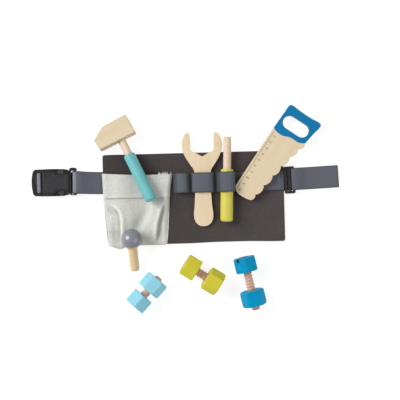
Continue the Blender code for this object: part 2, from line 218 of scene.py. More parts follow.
def canvas(name, color, thread=0.75, contrast=0.22, blotch=0.07, sheen=0.15, folds=0.0, shade_ramp=None):
    """Plain-woven cotton: threads crossing over and under, slubs, and slow changes of shade.

    The shade ramp is two places along X and the shades there: painted shade and light across the cloth.
    Folds is how strongly the painted light and shade stored with the folds shows.
    """
    look = Look(name)
    spot = look.position()
    x, y, _ = look.split(spot)
    warp = look.math("ABSOLUTE", look.math("SINE", look.math("MULTIPLY", x, math.pi / thread)))
    weft = look.math("ABSOLUTE", look.math("SINE", look.math("MULTIPLY", y, math.pi / thread)))
    over = look.node("ShaderNodeTexChecker")
    look.feed(over.inputs["Vector"], spot)
    over.inputs["Scale"].default_value = 1 / thread
    top = look.node("ShaderNodeMix", data_type="FLOAT")
    look.feed(top.inputs[0], over.outputs["Fac"])
    look.feed(top.inputs[2], warp)
    look.feed(top.inputs[3], weft)
    weave = top.outputs[0]
    slub_x = look.noise(look.position((0.12, 1.0, 1.0)), thread * 1.1, 1.0)
    slub_y = look.noise(look.position((1.0, 0.12, 1.0)), thread * 1.1, 1.0)
    slubs = look.math("MULTIPLY", slub_x, slub_y)
    shaded = look.shade(color, weave, 1 - contrast, 1 + contrast * 0.35)
    shaded = look.shade(shaded, look.ramp(slubs, 0.12, 0.42), 0.90, 1.10)
    shaded = look.shade(shaded, look.noise(spot, 26.0, 3.0), 1 - blotch, 1 + blotch)
    # Painted shade and light along X, darker at the first place.
    if shade_ramp:
        start, stop, low, high = shade_ramp
        shaded = look.shade(shaded, look.ramp(x, start, stop), low, high)
    # Painted light and shade stored with the pocket's folds.
    if folds:
        fold = look.node("ShaderNodeAttribute", attribute_name="fold").outputs["Fac"]
        shaded = look.shade(shaded, fold, 1 - folds, 1 + folds)
    height = look.math("ADD", weave, look.math("MULTIPLY", slubs, 1.5))
    normal = look.bump(height, 0.14, 0.75)
    fuzz = look.bump(look.noise(spot, 0.35, 2.0), 0.06, 0.5, normal)
    rough = look.ramp(slubs, 0.1, 0.5, 0.95, 0.82)
    return look.done(shaded, rough, fuzz, Specular_IOR_Level=0.15, Sheen_Weight=sheen, Sheen_Roughness=0.6)


def webbing_cloth(name, color, edge, width=WEB_WIDTH, pick=1.9, end=1.55, painted_light=None):
    """Woven tape: rows of short raised picks, offset from one column to the next, and a selvedge.

    A start and a stop along the tape can be given, over a fold, to lay a painted highlight between them.
    """
    look = Look(name)
    u, v, _ = look.split(look.along())
    column = look.math("FLOOR", look.math("DIVIDE", v, end))
    shift = look.math("MULTIPLY", look.math("MODULO", look.math("ABSOLUTE", column), 2.0), 0.5)
    row = look.math("ADD", look.math("DIVIDE", u, pick), shift)
    ridge = look.math("ABSOLUTE", look.math("SINE", look.math("MULTIPLY", row, math.pi)))
    groove = look.math("ABSOLUTE", look.math("SINE", look.math("MULTIPLY", v, math.pi / end)))
    weave = look.math("MULTIPLY", look.math("POWER", ridge, 0.7), look.math("POWER", groove, 0.45))
    threads = look.noise(look.along((1.0, 5.0, 1.0)), 0.9, 2.0)
    patches = look.noise(look.along(), 14.0, 3.0)
    shaded = look.shade(color, weave, 0.74, 1.10)
    shaded = look.shade(shaded, threads, 0.88, 1.12)
    shaded = look.shade(shaded, patches, 0.94, 1.06)
    # Painted shade: the webbing's upright sides are darker than its flat runs.
    shaded = look.shade(shaded, look.ramp(look.upward(), 0.1, 1.0), 0.55, 1.02)
    # A painted highlight over a fold, broken up by the threads.
    if painted_light:
        start, stop = painted_light
        blur = 0.8
        begun = look.ramp(u, start - blur, start + blur)
        going = look.ramp(u, stop + blur, stop - blur)
        inside = look.math("MULTIPLY", begun, going)
        inside = look.math("MULTIPLY", inside, look.ramp(threads, 0.2, 0.8, 0.3, 0.65))
        shaded = look.mix(inside, shaded, srgb(160, 159, 174))
    rim = look.ramp(look.math("ABSOLUTE", v), width / 2 - 1.6, width / 2 - 0.9)
    shaded = look.mix(rim, shaded, edge)
    height = look.math("ADD", weave, look.math("MULTIPLY", threads, 0.35))
    normal = look.bump(height, 0.16, 0.8)
    rough = look.ramp(weave, 0.0, 1.0, 0.85, 0.62)
    return look.done(shaded, rough, normal, Specular_IOR_Level=0.3, Sheen_Weight=0.08, Sheen_Roughness=0.5)


def timber(name, pale, dark, grain=(0.05, 1.0, 1.0), rings=3.4, turn=(0, 0, 0), gloss=0.55, lined=0.03):
    """Planed wood: slow figure, fine growth lines, short brown flecks and open pores."""
    look = Look(name)
    spot = look.position(grain, turn)
    figure = look.noise(spot, 9.0, 3.0, 0.6)
    lines = look.node("ShaderNodeTexWave", wave_type="BANDS", bands_direction="Y")
    look.feed(lines.inputs["Vector"], look.position(grain, turn))
    lines.inputs["Scale"].default_value = 0.314 / rings
    lines.inputs["Distortion"].default_value = 8.0
    lines.inputs["Detail"].default_value = 2.0
    lines.inputs["Detail Scale"].default_value = 0.25
    fleck = look.noise(look.position([value * 1.6 for value in grain], turn), 0.8, 1.0)
    fleck = look.ramp(fleck, 0.66, 0.74)
    fibre = look.noise(spot, 0.5, 3.0, 0.7)
    color = look.mix(look.ramp(figure, 0.3, 0.75), pale, dark)
    color = look.shade(color, lines.outputs["Fac"], 1 - lined, 1 + lined * 0.4)
    color = look.shade(color, fibre, 0.94, 1.05)
    color = look.mix(look.math("MULTIPLY", fleck, 0.28), color, srgb(176, 138, 96))
    height = look.math("ADD", fibre, look.math("MULTIPLY", lines.outputs["Fac"], 0.4))
    normal = look.bump(height, 0.07, 0.5)
    rough = look.ramp(fibre, 0.2, 0.8, gloss + 0.1, gloss - 0.05)
    return look.done(color, rough, normal)


def ply_color(look, pale, dark, heights, grain=(0.07, 1.0, 1.0), plies=5):
    """Face veneer on top, and the glued layers in light and dark on the sides."""
    spot = look.position(grain)
    figure = look.noise(spot, 7.0, 3.0, 0.6)
    fibre = look.noise(spot, 0.45, 3.0, 0.7)
    fleck = look.ramp(look.noise(look.position([value * 1.6 for value in grain]), 0.7, 1.0), 0.66, 0.74)
    face = look.mix(look.ramp(figure, 0.3, 0.75), pale, dark)
    face = look.shade(face, fibre, 0.94, 1.05)
    face = look.mix(look.math("MULTIPLY", fleck, 0.25), face, srgb(178, 140, 98))
    place = look.split(look.position())
    thick = (heights[1] - heights[0]) / plies
    layer = look.math("DIVIDE", look.math("SUBTRACT", place[2], heights[0]), thick)
    odd = look.math("MODULO", look.math("FLOOR", layer), 2.0)
    core = look.mix(odd, srgb(222, 196, 154), srgb(176, 138, 94))
    end_grain = look.noise(look.position((1.6, 1.6, 0.5)), 0.7, 2.0)
    core = look.shade(core, end_grain, 0.80, 1.14)
    side = look.ramp(look.upward(), 0.55, 0.30)
    return look.mix(side, face, core), fibre, side, place


def lacquer(name, color, gloss=0.34, grain=(0.08, 1.0, 1.0), turn=(0, 0, 0), streak=0.05, shine=0.3):
    """Brushed-on paint over wood: a faint grain shows through, with soft orange peel and scuffs."""
    look = Look(name)
    spot = look.position()
    under = look.noise(look.position(grain, turn), 0.8, 3.0, 0.65)
    peel = look.noise(spot, 1.6, 2.0)
    tone = look.noise(spot, 14.0, 2.0)
    shaded = look.shade(color, under, 1 - streak, 1 + streak)
    shaded = look.shade(shaded, tone, 0.95, 1.05)
    normal = look.bump(under, 0.05, 0.45)
    normal = look.bump(peel, 0.05, 0.35, normal)
    rough = look.ramp(look.noise(spot, 3.0, 3.0), 0.3, 0.7, gloss - 0.05, gloss + 0.10)
    return look.done(shaded, rough, normal, Specular_IOR_Level=shine)


def moulded(name, color, gloss=0.38, grit=0.45):
    """Moulded plastic with a fine spark-eroded texture and a few rubbed patches."""
    look = Look(name)
    spot = look.position()
    grain = look.noise(spot, grit, 3.0, 0.6)
    patch = look.noise(spot, 7.0, 2.0)
    shaded = look.shade(color, grain, 0.85, 1.15)
    shaded = look.shade(shaded, patch, 0.92, 1.10)
    rough = look.ramp(patch, 0.3, 0.7, gloss - 0.06, gloss + 0.10)
    return look.done(shaded, rough, look.bump(grain, 0.05, 0.6))


def yarn(name, color):
    """Sewing thread: twisted, so it is striped on the slant."""
    look = Look(name)
    spot = look.position((1.0, 1.0, 1.0), (0, 0, 35))
    twist = look.noise(spot, 0.18, 1.0)
    shaded = look.shade(color, twist, 0.72, 1.22)
    return look.done(shaded, 0.7, look.bump(twist, 0.05, 0.6))


def saw_look(name, pale, dark, paint):
    """Plywood with the handle painted as far as a waving line.

    The line's rows are a share of the saw's width and a distance from its tip in mm.
    """
    look = Look(name)
    color, fibre, side, place = ply_color(look, pale, dark, SAW_Z)
    curve = look.node("ShaderNodeFloatCurve")
    near, reach, width = 90, 25, 50.0
    line = [
        (0.00, 100.2), (0.10, 98.6), (0.20, 98.1), (0.32, 98.6), (0.42, 100.6), (0.52, 102.2),
        (0.66, 102.4), (0.78, 102.6), (0.88, 104.4), (1.00, 109.0),
    ]
    points = curve.mapping.curves[0].points
    points[0].location = (line[0][0], (line[0][1] - near) / reach)
    points[1].location = (line[-1][0], (line[-1][1] - near) / reach)
    for share, x in line[1:-1]:
        points.new(share, (x - near) / reach)
    curve.mapping.update()
    look.feed(curve.inputs["Value"], look.math("DIVIDE", place[1], -width))
    edge = look.math("ADD", look.math("MULTIPLY", curve.outputs[0], float(reach)), float(near))
    past = look.ramp(look.math("SUBTRACT", place[0], edge), -0.15, 0.15)
    under = look.noise(look.position((0.08, 1.0, 1.0)), 0.8, 3.0, 0.65)
    coat = look.shade(paint, under, 0.94, 1.06)
    # Painted shade: the paint on the handle's sides is darker.
    coat = look.shade(coat, side, 1.0, 0.72)
    color = look.mix(past, color, coat)
    rough = look.ramp(past, 0.0, 1.0, 0.60, 0.40)
    return look.done(color, rough, look.bump(fibre, 0.06, 0.45), Specular_IOR_Level=0.25)


# Painted shade across the apron: darker towards the left, lighter towards the right.
APRON_SHADE_RAMP = (-90.0, 130.0, 0.82, 1.24)
APRON_CLOTH = canvas("apron_canvas", srgb(68, 61, 61), 0.85, 0.26, 0.10, 0.22, shade_ramp=APRON_SHADE_RAMP)
LINING_CLOTH = canvas("lining_cotton", srgb(62, 57, 58), 0.6, 0.2, 0.06, 0.1)
# The pocket's cloth shows the painted light and shade stored with its folds.
POCKET_CLOTH = canvas("pocket_canvas", srgb(208, 208, 202), 0.8, 0.04, 0.02, 0.1, 0.26)
RIGHT_CLOTH = webbing_cloth("belt_webbing_right", srgb(95, 96, 106), srgb(74, 74, 82))
LOOP_CLOTH = webbing_cloth("loop_webbing", srgb(92, 96, 104), srgb(66, 65, 72), LOOP_WIDTH)
DARK_THREAD = yarn("apron_thread", srgb(84, 78, 80))
PALE_THREAD = yarn("pocket_thread", srgb(226, 227, 220))
WHITE_THREAD = yarn("fray_thread", srgb(240, 241, 236))
SLATE_THREAD = yarn("belt_thread", srgb(66, 67, 74))
BLACK_PLASTIC = moulded("buckle_panel_plastic", srgb(31, 30, 34), 0.58)
GLOSS_PLASTIC = moulded("buckle_gloss_plastic", srgb(26, 26, 28), 0.26, 0.9)
# A paler copy of the black plastic, used as a painted highlight on the latch pads.
PAD_HIGHLIGHT_PLASTIC = moulded("latch_pad_painted_highlight", srgb(58, 58, 56), 0.24, 0.9)
SLIDER_PLASTIC = moulded("slider_plastic", srgb(36, 35, 38), 0.34)
# Painted shade for the inside of the bolt heads' screwdriver slots.
SLOT_SHADE = lacquer("slot_painted_shade", srgb(24, 42, 52), 0.7)


# ------------------------------------------------------------------- shapes


def end_frame(end):
    """The frame of one end of the belt: X along the webbing, origin at the apron's edge."""
    x, y, turn = end
    return Matrix.Translation((x * MM, y * MM, 0)) @ Matrix.Rotation(math.radians(turn), 4, "Z")


def tool_frame(foot, turn, rise):
    """A frame whose Y axis points up the tool, turned on the table and tipped up."""
    place = Matrix.Translation(Vector(foot) * MM)
    spin = Matrix.Rotation(math.radians(turn), 4, "Z")
    return place @ spin @ Matrix.Rotation(math.radians(rise), 4, "X")


def turn_about(axis, degrees):
    return Matrix.Rotation(math.radians(degrees), 4, axis)


def piece(name, points, faces, place=None, material=None, sharp=40.0, weave=None):
    """A smooth-shaded mesh object from points in millimetres, with weave as UVs in millimetres."""
    mesh = bpy.data.meshes.new(name)
    mesh.from_pydata([Vector(point) * MM for point in points], [], faces)
    if weave:
        layer = mesh.uv_layers.new(name="weave")
        for loop in mesh.loops:
            layer.data[loop.index].uv = weave[loop.vertex_index]
    return place_mesh(name, mesh, place, material, sharp)


def add_object(name, data):
    """A new object in the scene."""
    obj = bpy.data.objects.new(name, data)
    bpy.context.scene.collection.objects.link(obj)
    return obj


def repaint(obj, *materials):
    """Gives an object these materials in place of the ones it has."""
    obj.data.materials.clear()
    for material in materials:
        obj.data.materials.append(material)


def circle(radius, z, steps, flat=1.0):
    """Points round the Z axis, flattened along Y."""
    angles = [math.tau * i / steps for i in range(steps)]
    return [(radius * math.cos(a), flat * radius * math.sin(a), z) for a in angles]


def tube_faces(rings, count, start=0, capped=True):
    """Faces between rings of count points each, from point start on, with both ends closed."""
    faces = []
    for row in range(rings - 1):
        low, high = start + row * count, start + (row + 1) * count
        for i in range(count):
            j = (i + 1) % count
            faces.append((low + i, low + j, high + j, high + i))
    if capped:
        last = start + (rings - 1) * count
        faces.append(tuple(start + i for i in reversed(range(count))))
        faces.append(tuple(last + i for i in range(count)))
    return faces


def turned_edge(reach, radius):
    """0 at a cloth's outline and 1 where its rounded edge is flat."""
    share = min(1.0, max(0.0, reach / radius))
    return math.sqrt(max(0.0, 1 - (1 - share) ** 2))


def place_mesh(name, mesh, place=None, material=None, sharp=40.0):
    mesh.polygons.foreach_set("use_smooth", [True] * len(mesh.polygons))
    mesh.set_sharp_from_angle(angle=math.radians(sharp))
    obj = add_object(name, mesh)
    obj.matrix_world = TO_ROW @ (place or Matrix.Identity(4))
    if material:
        mesh.materials.append(material)
    return obj


def settle(obj):
    """Turns an object's modifiers into mesh."""
    bpy.context.view_layer.update()
    graph = bpy.context.evaluated_depsgraph_get()
    mesh = bpy.data.meshes.new_from_object(obj.evaluated_get(graph))
    obj.modifiers.clear()
    obj.data = mesh
    return obj


def slab(name, outlines, low, high, place=None, material=None, edge=0.6, steps=3, angle=30.0):
    """A plate between two heights with rounded edges. The first outline is the edge, others holes."""
    curve = bpy.data.curves.new(name + "_outline", "CURVE")
    curve.dimensions = "2D"
    curve.fill_mode = "BOTH"
    curve.extrude = (high - low) / 2 * MM
    for outline in outlines:
        spline = curve.splines.new("POLY")
        spline.points.add(len(outline) - 1)
        spline.use_cyclic_u = True
        for point, (x, y) in zip(spline.points, outline):
            point.co = (x * MM, y * MM, 0, 1)
    drawn = add_object(name + "_drawn", curve)
    bpy.context.view_layer.update()
    graph = bpy.context.evaluated_depsgraph_get()
    mesh = bpy.data.meshes.new_from_object(drawn.evaluated_get(graph))
    bpy.data.objects.remove(drawn)
    mesh.transform(Matrix.Translation((0, 0, (low + high) / 2 * MM)))
    shape = bmesh.new()
    shape.from_mesh(mesh)
    bmesh.ops.remove_doubles(shape, verts=shape.verts, dist=0.00001)
    bmesh.ops.recalc_face_normals(shape, faces=shape.faces)
    shape.to_mesh(mesh)
    shape.free()
    mesh.materials.clear()
    obj = place_mesh(name, mesh, place, material)
    round_edges(obj, edge, steps, angle)
    return obj


def round_edges(obj, edge, steps=3, angle=30.0):
    if edge:
        mod = obj.modifiers.new("round", "BEVEL")
        mod.width = edge * MM
        mod.segments = steps
        mod.limit_method = "ANGLE"
        mod.angle_limit = math.radians(angle)
        mod.harden_normals = True
    return obj


def carve(obj, cutter, operation="DIFFERENCE"):
    """Cuts one shape with another, which is used up."""
    mod = obj.modifiers.new("carve", "BOOLEAN")
    mod.operation = operation
    mod.object = cutter
    mod.solver = "EXACT"
    settle(obj)
    bpy.data.objects.remove(cutter)
    return obj


def block(name, low, high, place=None):
    corners = [(low[0], low[1]), (high[0], low[1]), (high[0], high[1]), (low[0], high[1])]
    return slab(name, [corners], low[2], high[2], place, edge=0)


def lathe(name, profile, place, material, steps=64, sharp=40.0):
    """Turns a profile of (radius, z), from its lower end to its upper one, round the Z axis."""
    points, faces, rows = [], [], []
    for radius, z in profile:
        start = len(points)
        if radius < 1e-6:
            points.append((0.0, 0.0, z))
            rows.append((start, 1))
            continue
        points += circle(radius, z, steps)
        rows.append((start, steps))
    for (low, few), (high, many) in zip(rows, rows[1:]):
        for i in range(steps):
            j = (i + 1) % steps
            if few == 1:
                faces.append((low, high + j, high + i))
            elif many == 1:
                faces.append((low + i, low + j, high))
            else:
                faces.append((low + i, low + j, high + j, high + i))
    return piece(name, points, faces, place, material, sharp)


def arc(middle, radius, start, stop, count):
    """Points along an arc, angles in degrees."""
    angles = [math.radians(start + (stop - start) * i / (count - 1)) for i in range(count)]
    return [(middle[0] + radius * math.cos(a), middle[1] + radius * math.sin(a)) for a in angles]


def rounded(x, y, radius, count=7):
    """A rectangle with rounded corners."""
    corners = [(x[1], y[0], -90), (x[1], y[1], 0), (x[0], y[1], 90), (x[0], y[0], 180)]
    points = []
    for cx, cy, start in corners:
        inward_x = math.copysign(radius, cx - sum(x) / 2)
        inward_y = math.copysign(radius, cy - sum(y) / 2)
        points += arc((cx - inward_x, cy - inward_y), radius, start, start + 90, count)
    return points


def curve_through(points, step=1.0, closed=False):
    """Points about step apart on a smooth curve through the given ones."""
    spots = [Vector(point) for point in points]
    count = len(spots)
    made = []
    for i in range(count if closed else count - 1):
        if closed:
            a, b, c, d = (spots[(i + k) % count] for k in (-1, 0, 1, 2))
        else:
            b, c = spots[i], spots[i + 1]
            a = spots[i - 1] if i else b * 2 - c
            d = spots[i + 2] if i + 2 < count else c * 2 - b
        knots = [0.0]
        for p, q in ((a, b), (b, c), (c, d)):
            knots.append(knots[-1] + max((q - p).length, 1e-4) ** 0.5)
        pieces = max(1, math.ceil((c - b).length / step))
        for k in range(pieces):
            t = knots[1] + (knots[2] - knots[1]) * k / pieces
            made.append(spline_point((a, b, c, d), knots, t))
    if not closed:
        made.append(spots[-1])
    return [tuple(point) for point in made]


def spline_point(spots, knots, t):
    """A point between the middle two of four spots, by repeated straight blends."""
    level = list(spots)
    for spans in (((0, 1), (1, 2), (2, 3)), ((0, 2), (1, 3)), ((1, 2),)):
        following = []
        for i, (first, last) in enumerate(spans):
            share = (t - knots[first]) / (knots[last] - knots[first])
            following.append(level[i].lerp(level[i + 1], share))
        level = following
    return level[0]


def interpolate(table, x):
    """Reads a table of (x, value) rows, along straight lines between them."""
    if x <= table[0][0]:
        return table[0][1]
    for (x0, a), (x1, b) in zip(table, table[1:]):
        if x <= x1:
            return a + (b - a) * (x - x0) / (x1 - x0)
    return table[-1][1]


def ease(x, low, high):
    t = min(1.0, max(0.0, (x - low) / (high - low)))
    return t * t * (3 - 2 * t)


def dent(x, middle, width):
    return math.exp(-(((x - middle) / width) ** 2))


def route_along(path, step):
    """A smooth route through (x, z) or (x, z, y) points."""
    return curve_through([(p[0], p[1], p[2] if len(p) > 2 else 0.0) for p in path], step)


def ribbon(name, path, width, place, material, step=0.7):
    """Woven tape along (x, z) or (x, z, y) points, with rounded selvedges and the weave's UVs."""
    route = route_along(path, step)
    half, r = width / 2, WEB / 2
    right = [
        (half - r + r * math.cos(a), r * math.sin(a))
        for a in map(math.radians, (-90, -45, 0, 45, 90))
    ]
    left = [(-x, y) for x, y in reversed(right)]
    top = [(half * share, r) for share in (0.6, 0.3, 0.0, -0.3, -0.6)]
    bottom = [(-x, -r) for x, _ in top]
    section = right + top + left + bottom
    points, weave = [], []
    run = 0.0
    for i, (x, z, y) in enumerate(route):
        before, after = Vector(route[max(i - 1, 0)]), Vector(route[min(i + 1, len(route) - 1)])
        ahead = after - before
        size = math.hypot(ahead.x, ahead.y) or 1.0
        normal = (-ahead.y / size, ahead.x / size)
        if i:
            run += (Vector(route[i]) - Vector(route[i - 1])).length
        for across, up in section:
            points.append((x + normal[0] * up, y + across, z + normal[1] * up))
            weave.append((run, across))
    return piece(name, points, tube_faces(len(route), len(section)), place, material, 60.0, weave)


def stitches(name, spots, material, place=None, length=2.2, width=0.55, high=0.3):
    """A row of sewn stitches. Each spot is a point and the direction of the seam there."""
    points, faces = [], []
    for spot, ahead in spots:
        spot, ahead = Vector(spot), Vector(ahead).normalized()
        side = Vector((-ahead.y, ahead.x, 0)).normalized()
        up = ahead.cross(side) * -1 if ahead.cross(side).z < 0 else ahead.cross(side)
        start = len(points)
        for share, size in ((-1.0, 0.35), (-0.7, 0.85), (0.0, 1.0), (0.7, 0.85), (1.0, 0.35)):
            middle = spot + ahead * (share * length / 2) - up * (0.25 * abs(share) ** 3)
            for k in range(6):
                angle = math.tau * k / 6
                beside = side * (math.cos(angle) * width / 2 * size)
                points.append(middle + (beside + up * (math.sin(angle) * high * size)))
        faces += tube_faces(5, 6, start)
    return piece(name, points, faces, place, material, 80.0)


def seam(points, pitch):
    """Stitch places along a line of 3-D points."""
    spots, carried = [], pitch / 2
    for a, b in zip(points, points[1:]):
        a, b = Vector(a), Vector(b)
        size = (b - a).length
        while carried <= size and size > 0:
            spots.append((a.lerp(b, carried / size), b - a))
            carried += pitch
        carried -= size
    return spots


def show(obj, body, nodes=()):
    """Lets a piece ride on its body and stand for its CAD nodes."""
    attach(obj, body)
    if nodes:
        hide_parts(*nodes)
    return obj


def sheet_of_cloth(name, xs, ys, place_point, top, bottom, material, keep=None):
    """A closed sheet over a grid. place_point moves grid points in plan; top and bottom are heights."""
    points, index = [], {}
    for layer, height in enumerate((bottom, top)):
        for j, y in enumerate(ys):
            for i, x in enumerate(xs):
                px, py = place_point(x, y)
                index[layer, i, j] = len(points)
                points.append((px, py, height(x, y)))
    faces, border = [], {}
    for j in range(len(ys) - 1):
        for i in range(len(xs) - 1):
            if keep and not keep((xs[i] + xs[i + 1]) / 2, (ys[j] + ys[j + 1]) / 2):
                continue
            corners = [(i, j), (i + 1, j), (i + 1, j + 1), (i, j + 1)]
            faces.append(tuple(index[1, a, b] for a, b in corners))
            faces.append(tuple(index[0, a, b] for a, b in reversed(corners)))
            for first, second in zip(corners, corners[1:] + corners[:1]):
                if border.pop((second, first), None) is None:
                    border[first, second] = True
    for (a, b), (c, d) in border:
        faces.append((index[0, a, b], index[0, c, d], index[1, c, d], index[1, a, b]))
    obj = piece(name, points, faces, None, material, 70.0)
    shape = bmesh.new()
    shape.from_mesh(obj.data)
    loose = [vert for vert in shape.verts if not vert.link_faces]
    bmesh.ops.delete(shape, geom=loose, context="VERTS")
    shape.to_mesh(obj.data)
    shape.free()
    return obj


def grid_lines(low, high, step, rim=(0.0, 0.12, 0.35, 0.7, 1.2, 2.0, 3.0)):
    """Grid lines, closer together beside both ends."""
    inner_low, inner_high = low + rim[-1], high - rim[-1]
    count = max(1, round((inner_high - inner_low) / step))
    inner = [inner_low + (inner_high - inner_low) * i / count for i in range(count + 1)]
    return [low + r for r in rim[:-1]] + inner + [high - r for r in reversed(rim[:-1])]


# -------------------------------------------------------------------- cloth


def slant(x, y):
    """How far the apron's lower left edge moves in at a point, so that it lies under the pocket."""
    share = max(0.0, 12.0 - y) / (12.0 - APRON_Y[0])
    return APRON_SLANT * share * ease(x, -60.0, APRON_X[0])


def foot_wave(x, y):
    """How far the apron's lower edge is drawn up between the pocket and its right corner."""
    start, stop = 4, 128
    if not start < x < stop:
        return 0.0
    arch = max(0.0, math.sin(math.pi * (x - start) / (stop - start))) ** 1.3
    return 1.4 * arch * ease(y, -25.0, APRON_Y[0])


def apron_reach(x, y):
    """How far a point is from the apron's nearest side."""
    return min(x - APRON_X[0], APRON_X[1] - x, y - APRON_Y[0], APRON_Y[1] - y)


def apron_height(x, y):
    """The panel's upper face: a turned and stitched edge, and soft waves in the cloth."""
    reach = apron_reach(x, y)
    wave = noise.noise(Vector((x / 38, y / 30, 2.0))) * 0.28
    wave += noise.noise(Vector((x / 11, y / 13, 5.0))) * 0.10
    pucker = 0.10 * math.sin(x * 1.1 + y * 0.9) * dent(reach, 2.4, 1.6)
    hem = 0.30 * (1 - ease(reach, 8.0, 8.9))
    sunk = -0.22 * dent(reach, 4.2, 0.7) - 0.12 * dent(reach, 8.9, 0.7)
    return PANEL[1] + 0.05 + (wave + pucker + hem + sunk) * ease(reach, 0.0, 1.5)


def apron():
    """The apron's canvas front, its lining, and the rows of stitches round its edge."""
    mid = (PANEL[0] + PANEL[1]) / 2
    roll = 0.7

    def corner(x, y, radius=3.0):
        cx = min(max(x, APRON_X[0] + radius), APRON_X[1] - radius)
        cy = min(max(y, APRON_Y[0] + radius), APRON_Y[1] - radius)
        dx, dy = x - cx, y - cy
        shift, lift = slant(x, y), foot_wave(x, y)
        if dx and dy:
            scale = max(abs(dx), abs(dy)) / math.hypot(dx, dy)
            return cx + dx * scale + shift, cy + dy * scale + lift
        return x + shift, y + lift

    xs, ys = grid_lines(*APRON_X, 2.2), grid_lines(*APRON_Y, 2.2)
    front = sheet_of_cloth(
        "apron_panel", xs, ys, corner,
        lambda x, y: mid + (apron_height(x, y) - mid) * turned_edge(apron_reach(x, y), roll),
        lambda x, y: mid - (mid - PANEL[0]) * turned_edge(apron_reach(x, y), roll),
        APRON_CLOTH,
    )
    show(front, "belt", ["apron_front"])

    inset, proud, pitch = 4.2, 0.16, 3.0
    x, y = ((side[0] + inset, side[1] - inset) for side in (APRON_X, APRON_Y))
    loop = curve_line(rounded(x, y, 2.0), 2.0, closed=True)
    line = [(*corner(a, b), apron_height(a, b) + proud) for a, b in loop]
    rows = stitches("apron_stitches", seam(line, pitch), DARK_THREAD)
    show(rows, "belt")

    (left, right), (bottom, top) = APRON_X, APRON_Y
    left, right, bottom, top = left + 1, right - 1, bottom + 1, top - 1
    low, high, notch = BELT_Y - 18.5, BELT_Y + 20.0, 16
    xs, ys = grid_lines(left, right, 4.0), grid_lines(bottom, top, 4.0)
    xs = sorted(set(xs + [left + notch, right - notch]))
    ys = sorted(set(ys + [low, high]))
    middle = sum(LINING) / 2

    def lining_rim(x, y):
        return turned_edge(min(x - left, right - x, y - bottom, top - y), 0.6)

    def under(x, y):
        wrinkle = max(0.0, noise.noise(Vector((x / 22, y / 20, 9.0)))) * 0.25
        return middle - (middle - LINING[0] - wrinkle) * lining_rim(x, y)

    def kept(x, y):
        return not (low < y < high and (x < left + notch or x > right - notch))

    lining = sheet_of_cloth(
        "apron_backing", xs, ys, lambda x, y: (x + slant(x, y), y),
        lambda x, y: middle + (LINING[1] - middle) * lining_rim(x, y), under, LINING_CLOTH, kept,
    )
    show(lining, "belt", ["apron_lining"])


def curve_line(points, step, closed=False):
    """Straight runs between points, cut into short steps."""
    made = []
    if closed:
        points = points + points[:1]
    for a, b in zip(points, points[1:]):
        a, b = Vector(a), Vector(b)
        pieces = max(1, round((b - a).length / step))
        made += [tuple(a.lerp(b, k / pieces)) for k in range(pieces)]
    made.append(tuple(points[-1]))
    return made


# Rows of the pocket: y, and X at its left and right seams.
POCKET_SIDES = [
    (-50.5, -105.0, -31.0), (-49.0, -110.5, -27.3), (-45.0, -112.6, -26.7), (-37.0, -113.4, -26.0),
    (-26.0, -114.4, -25.0), (-10.0, -115.6, -24.0), (10.0, -117.0, -22.8), (30.0, -118.0, -21.0),
    (51.3, -118.7, -17.6),
]
# How high the pocket swells at each y.
POCKET_RISE = [
    (-50.5, 0.0), (-49.0, 0.9), (-45.0, 2.2), (-37.0, 3.5), (-26.0, 5.6), (-10.0, 6.8), (10.0, 5.6),
    (30.0, 4.3), (51.3, 4.2),
]
# Where the folds over the side gussets run: y and X.
LEFT_FOLD = [(-56.0, -93.0), (-15.7, -92.8), (-6.0, -94.2), (0.0, -96.7), (6.0, -103.0), (11.8, -113.4)]
RIGHT_FOLD = [
    (-56.0, -44.9), (-50.0, -44.1), (-19.6, -39.7), (4.0, -32.9), (10.0, -29.4), (15.8, -26.0),
]


def pocket_height(x, y, side):
    """The pocket's middle surface: swelling, the hem's step, folds over the side gussets, wrinkles."""
    swell = math.sin(min(1.0, side / 4.5) * math.pi / 2)
    height = interpolate(POCKET_RISE, y) * swell
    depth = 5.2 * ease(y, 13.0, -6.0) * ease(y, -52.0, -30.0) * swell ** 0.5
    if y < 14.0:
        fold_left, fold_right = interpolate(LEFT_FOLD, y), interpolate(RIGHT_FOLD, y)
        height -= depth * ease(x, fold_left + 0.4, fold_left - 0.9)
        height -= depth * ease(x, fold_right - 0.4, fold_right + 0.9)
        height += 1.1 * dent(x, fold_left + 3.2, 3.0) * ease(y, 10.0, -6.0) * ease(y, -50.0, -30.0)
        height += 0.9 * dent(x, fold_right - 3.2, 3.0) * ease(y, 10.0, -6.0) * ease(y, -50.0, -30.0)
        height += 0.8 * dent(x, -107.0, 4.0) * ease(y, 4.0, -14.0)
        height += 0.8 * dent(x, -31.5, 2.4) * ease(y, 4.0, -14.0)
    along = ease(y, 12.0, -44.0)
    height -= 3.4 * dent(x, -56.0 - 18.0 * along, 8.0) * dent(y, -14.0, 24.0)
    height += 0.8 * dent(x, -80.0, 7.0) * dent(y, -8.0, 22.0)
    height += 1.5 * dent(x, -27.0, 4.5) * dent(y, 19.5, 6.0)
    height += 1.0 * ease(y, 17.0, 18.0) * swell
    height -= 0.35 * dent(y, 22.2, 0.8) + 0.9 * dent(y, 17.0, 0.9)
    height += 0.35 * noise.noise(Vector((x / 17, y / 21, 3.0))) * swell
    height += 0.14 * noise.noise(Vector((x / 6, y / 8, 7.0))) * swell
    return POCKET_SEAM + height


def pocket_point(u, y):
    """A point of the pocket's middle surface, u from 0 at the left seam to 1 at the right."""
    left = interpolate([(row[0], row[1]) for row in POCKET_SIDES], y)
    right = interpolate([(row[0], row[2]) for row in POCKET_SIDES], y)
    x = left + (right - left) * u
    side = min(x - left, right - x)
    sag = max(0.0, y / 51.3) ** 3 * (1.4 * math.sin(math.pi * u) - 2.3 * (1 - u) + 0.8 * u)
    drop = 4.6 * dent(u, 0.13, 0.13) * ease(y, -38.0, -50.0)
    z = pocket_height(x, y, max(0.0, side))
    return Vector((x, y - sag - drop, z))


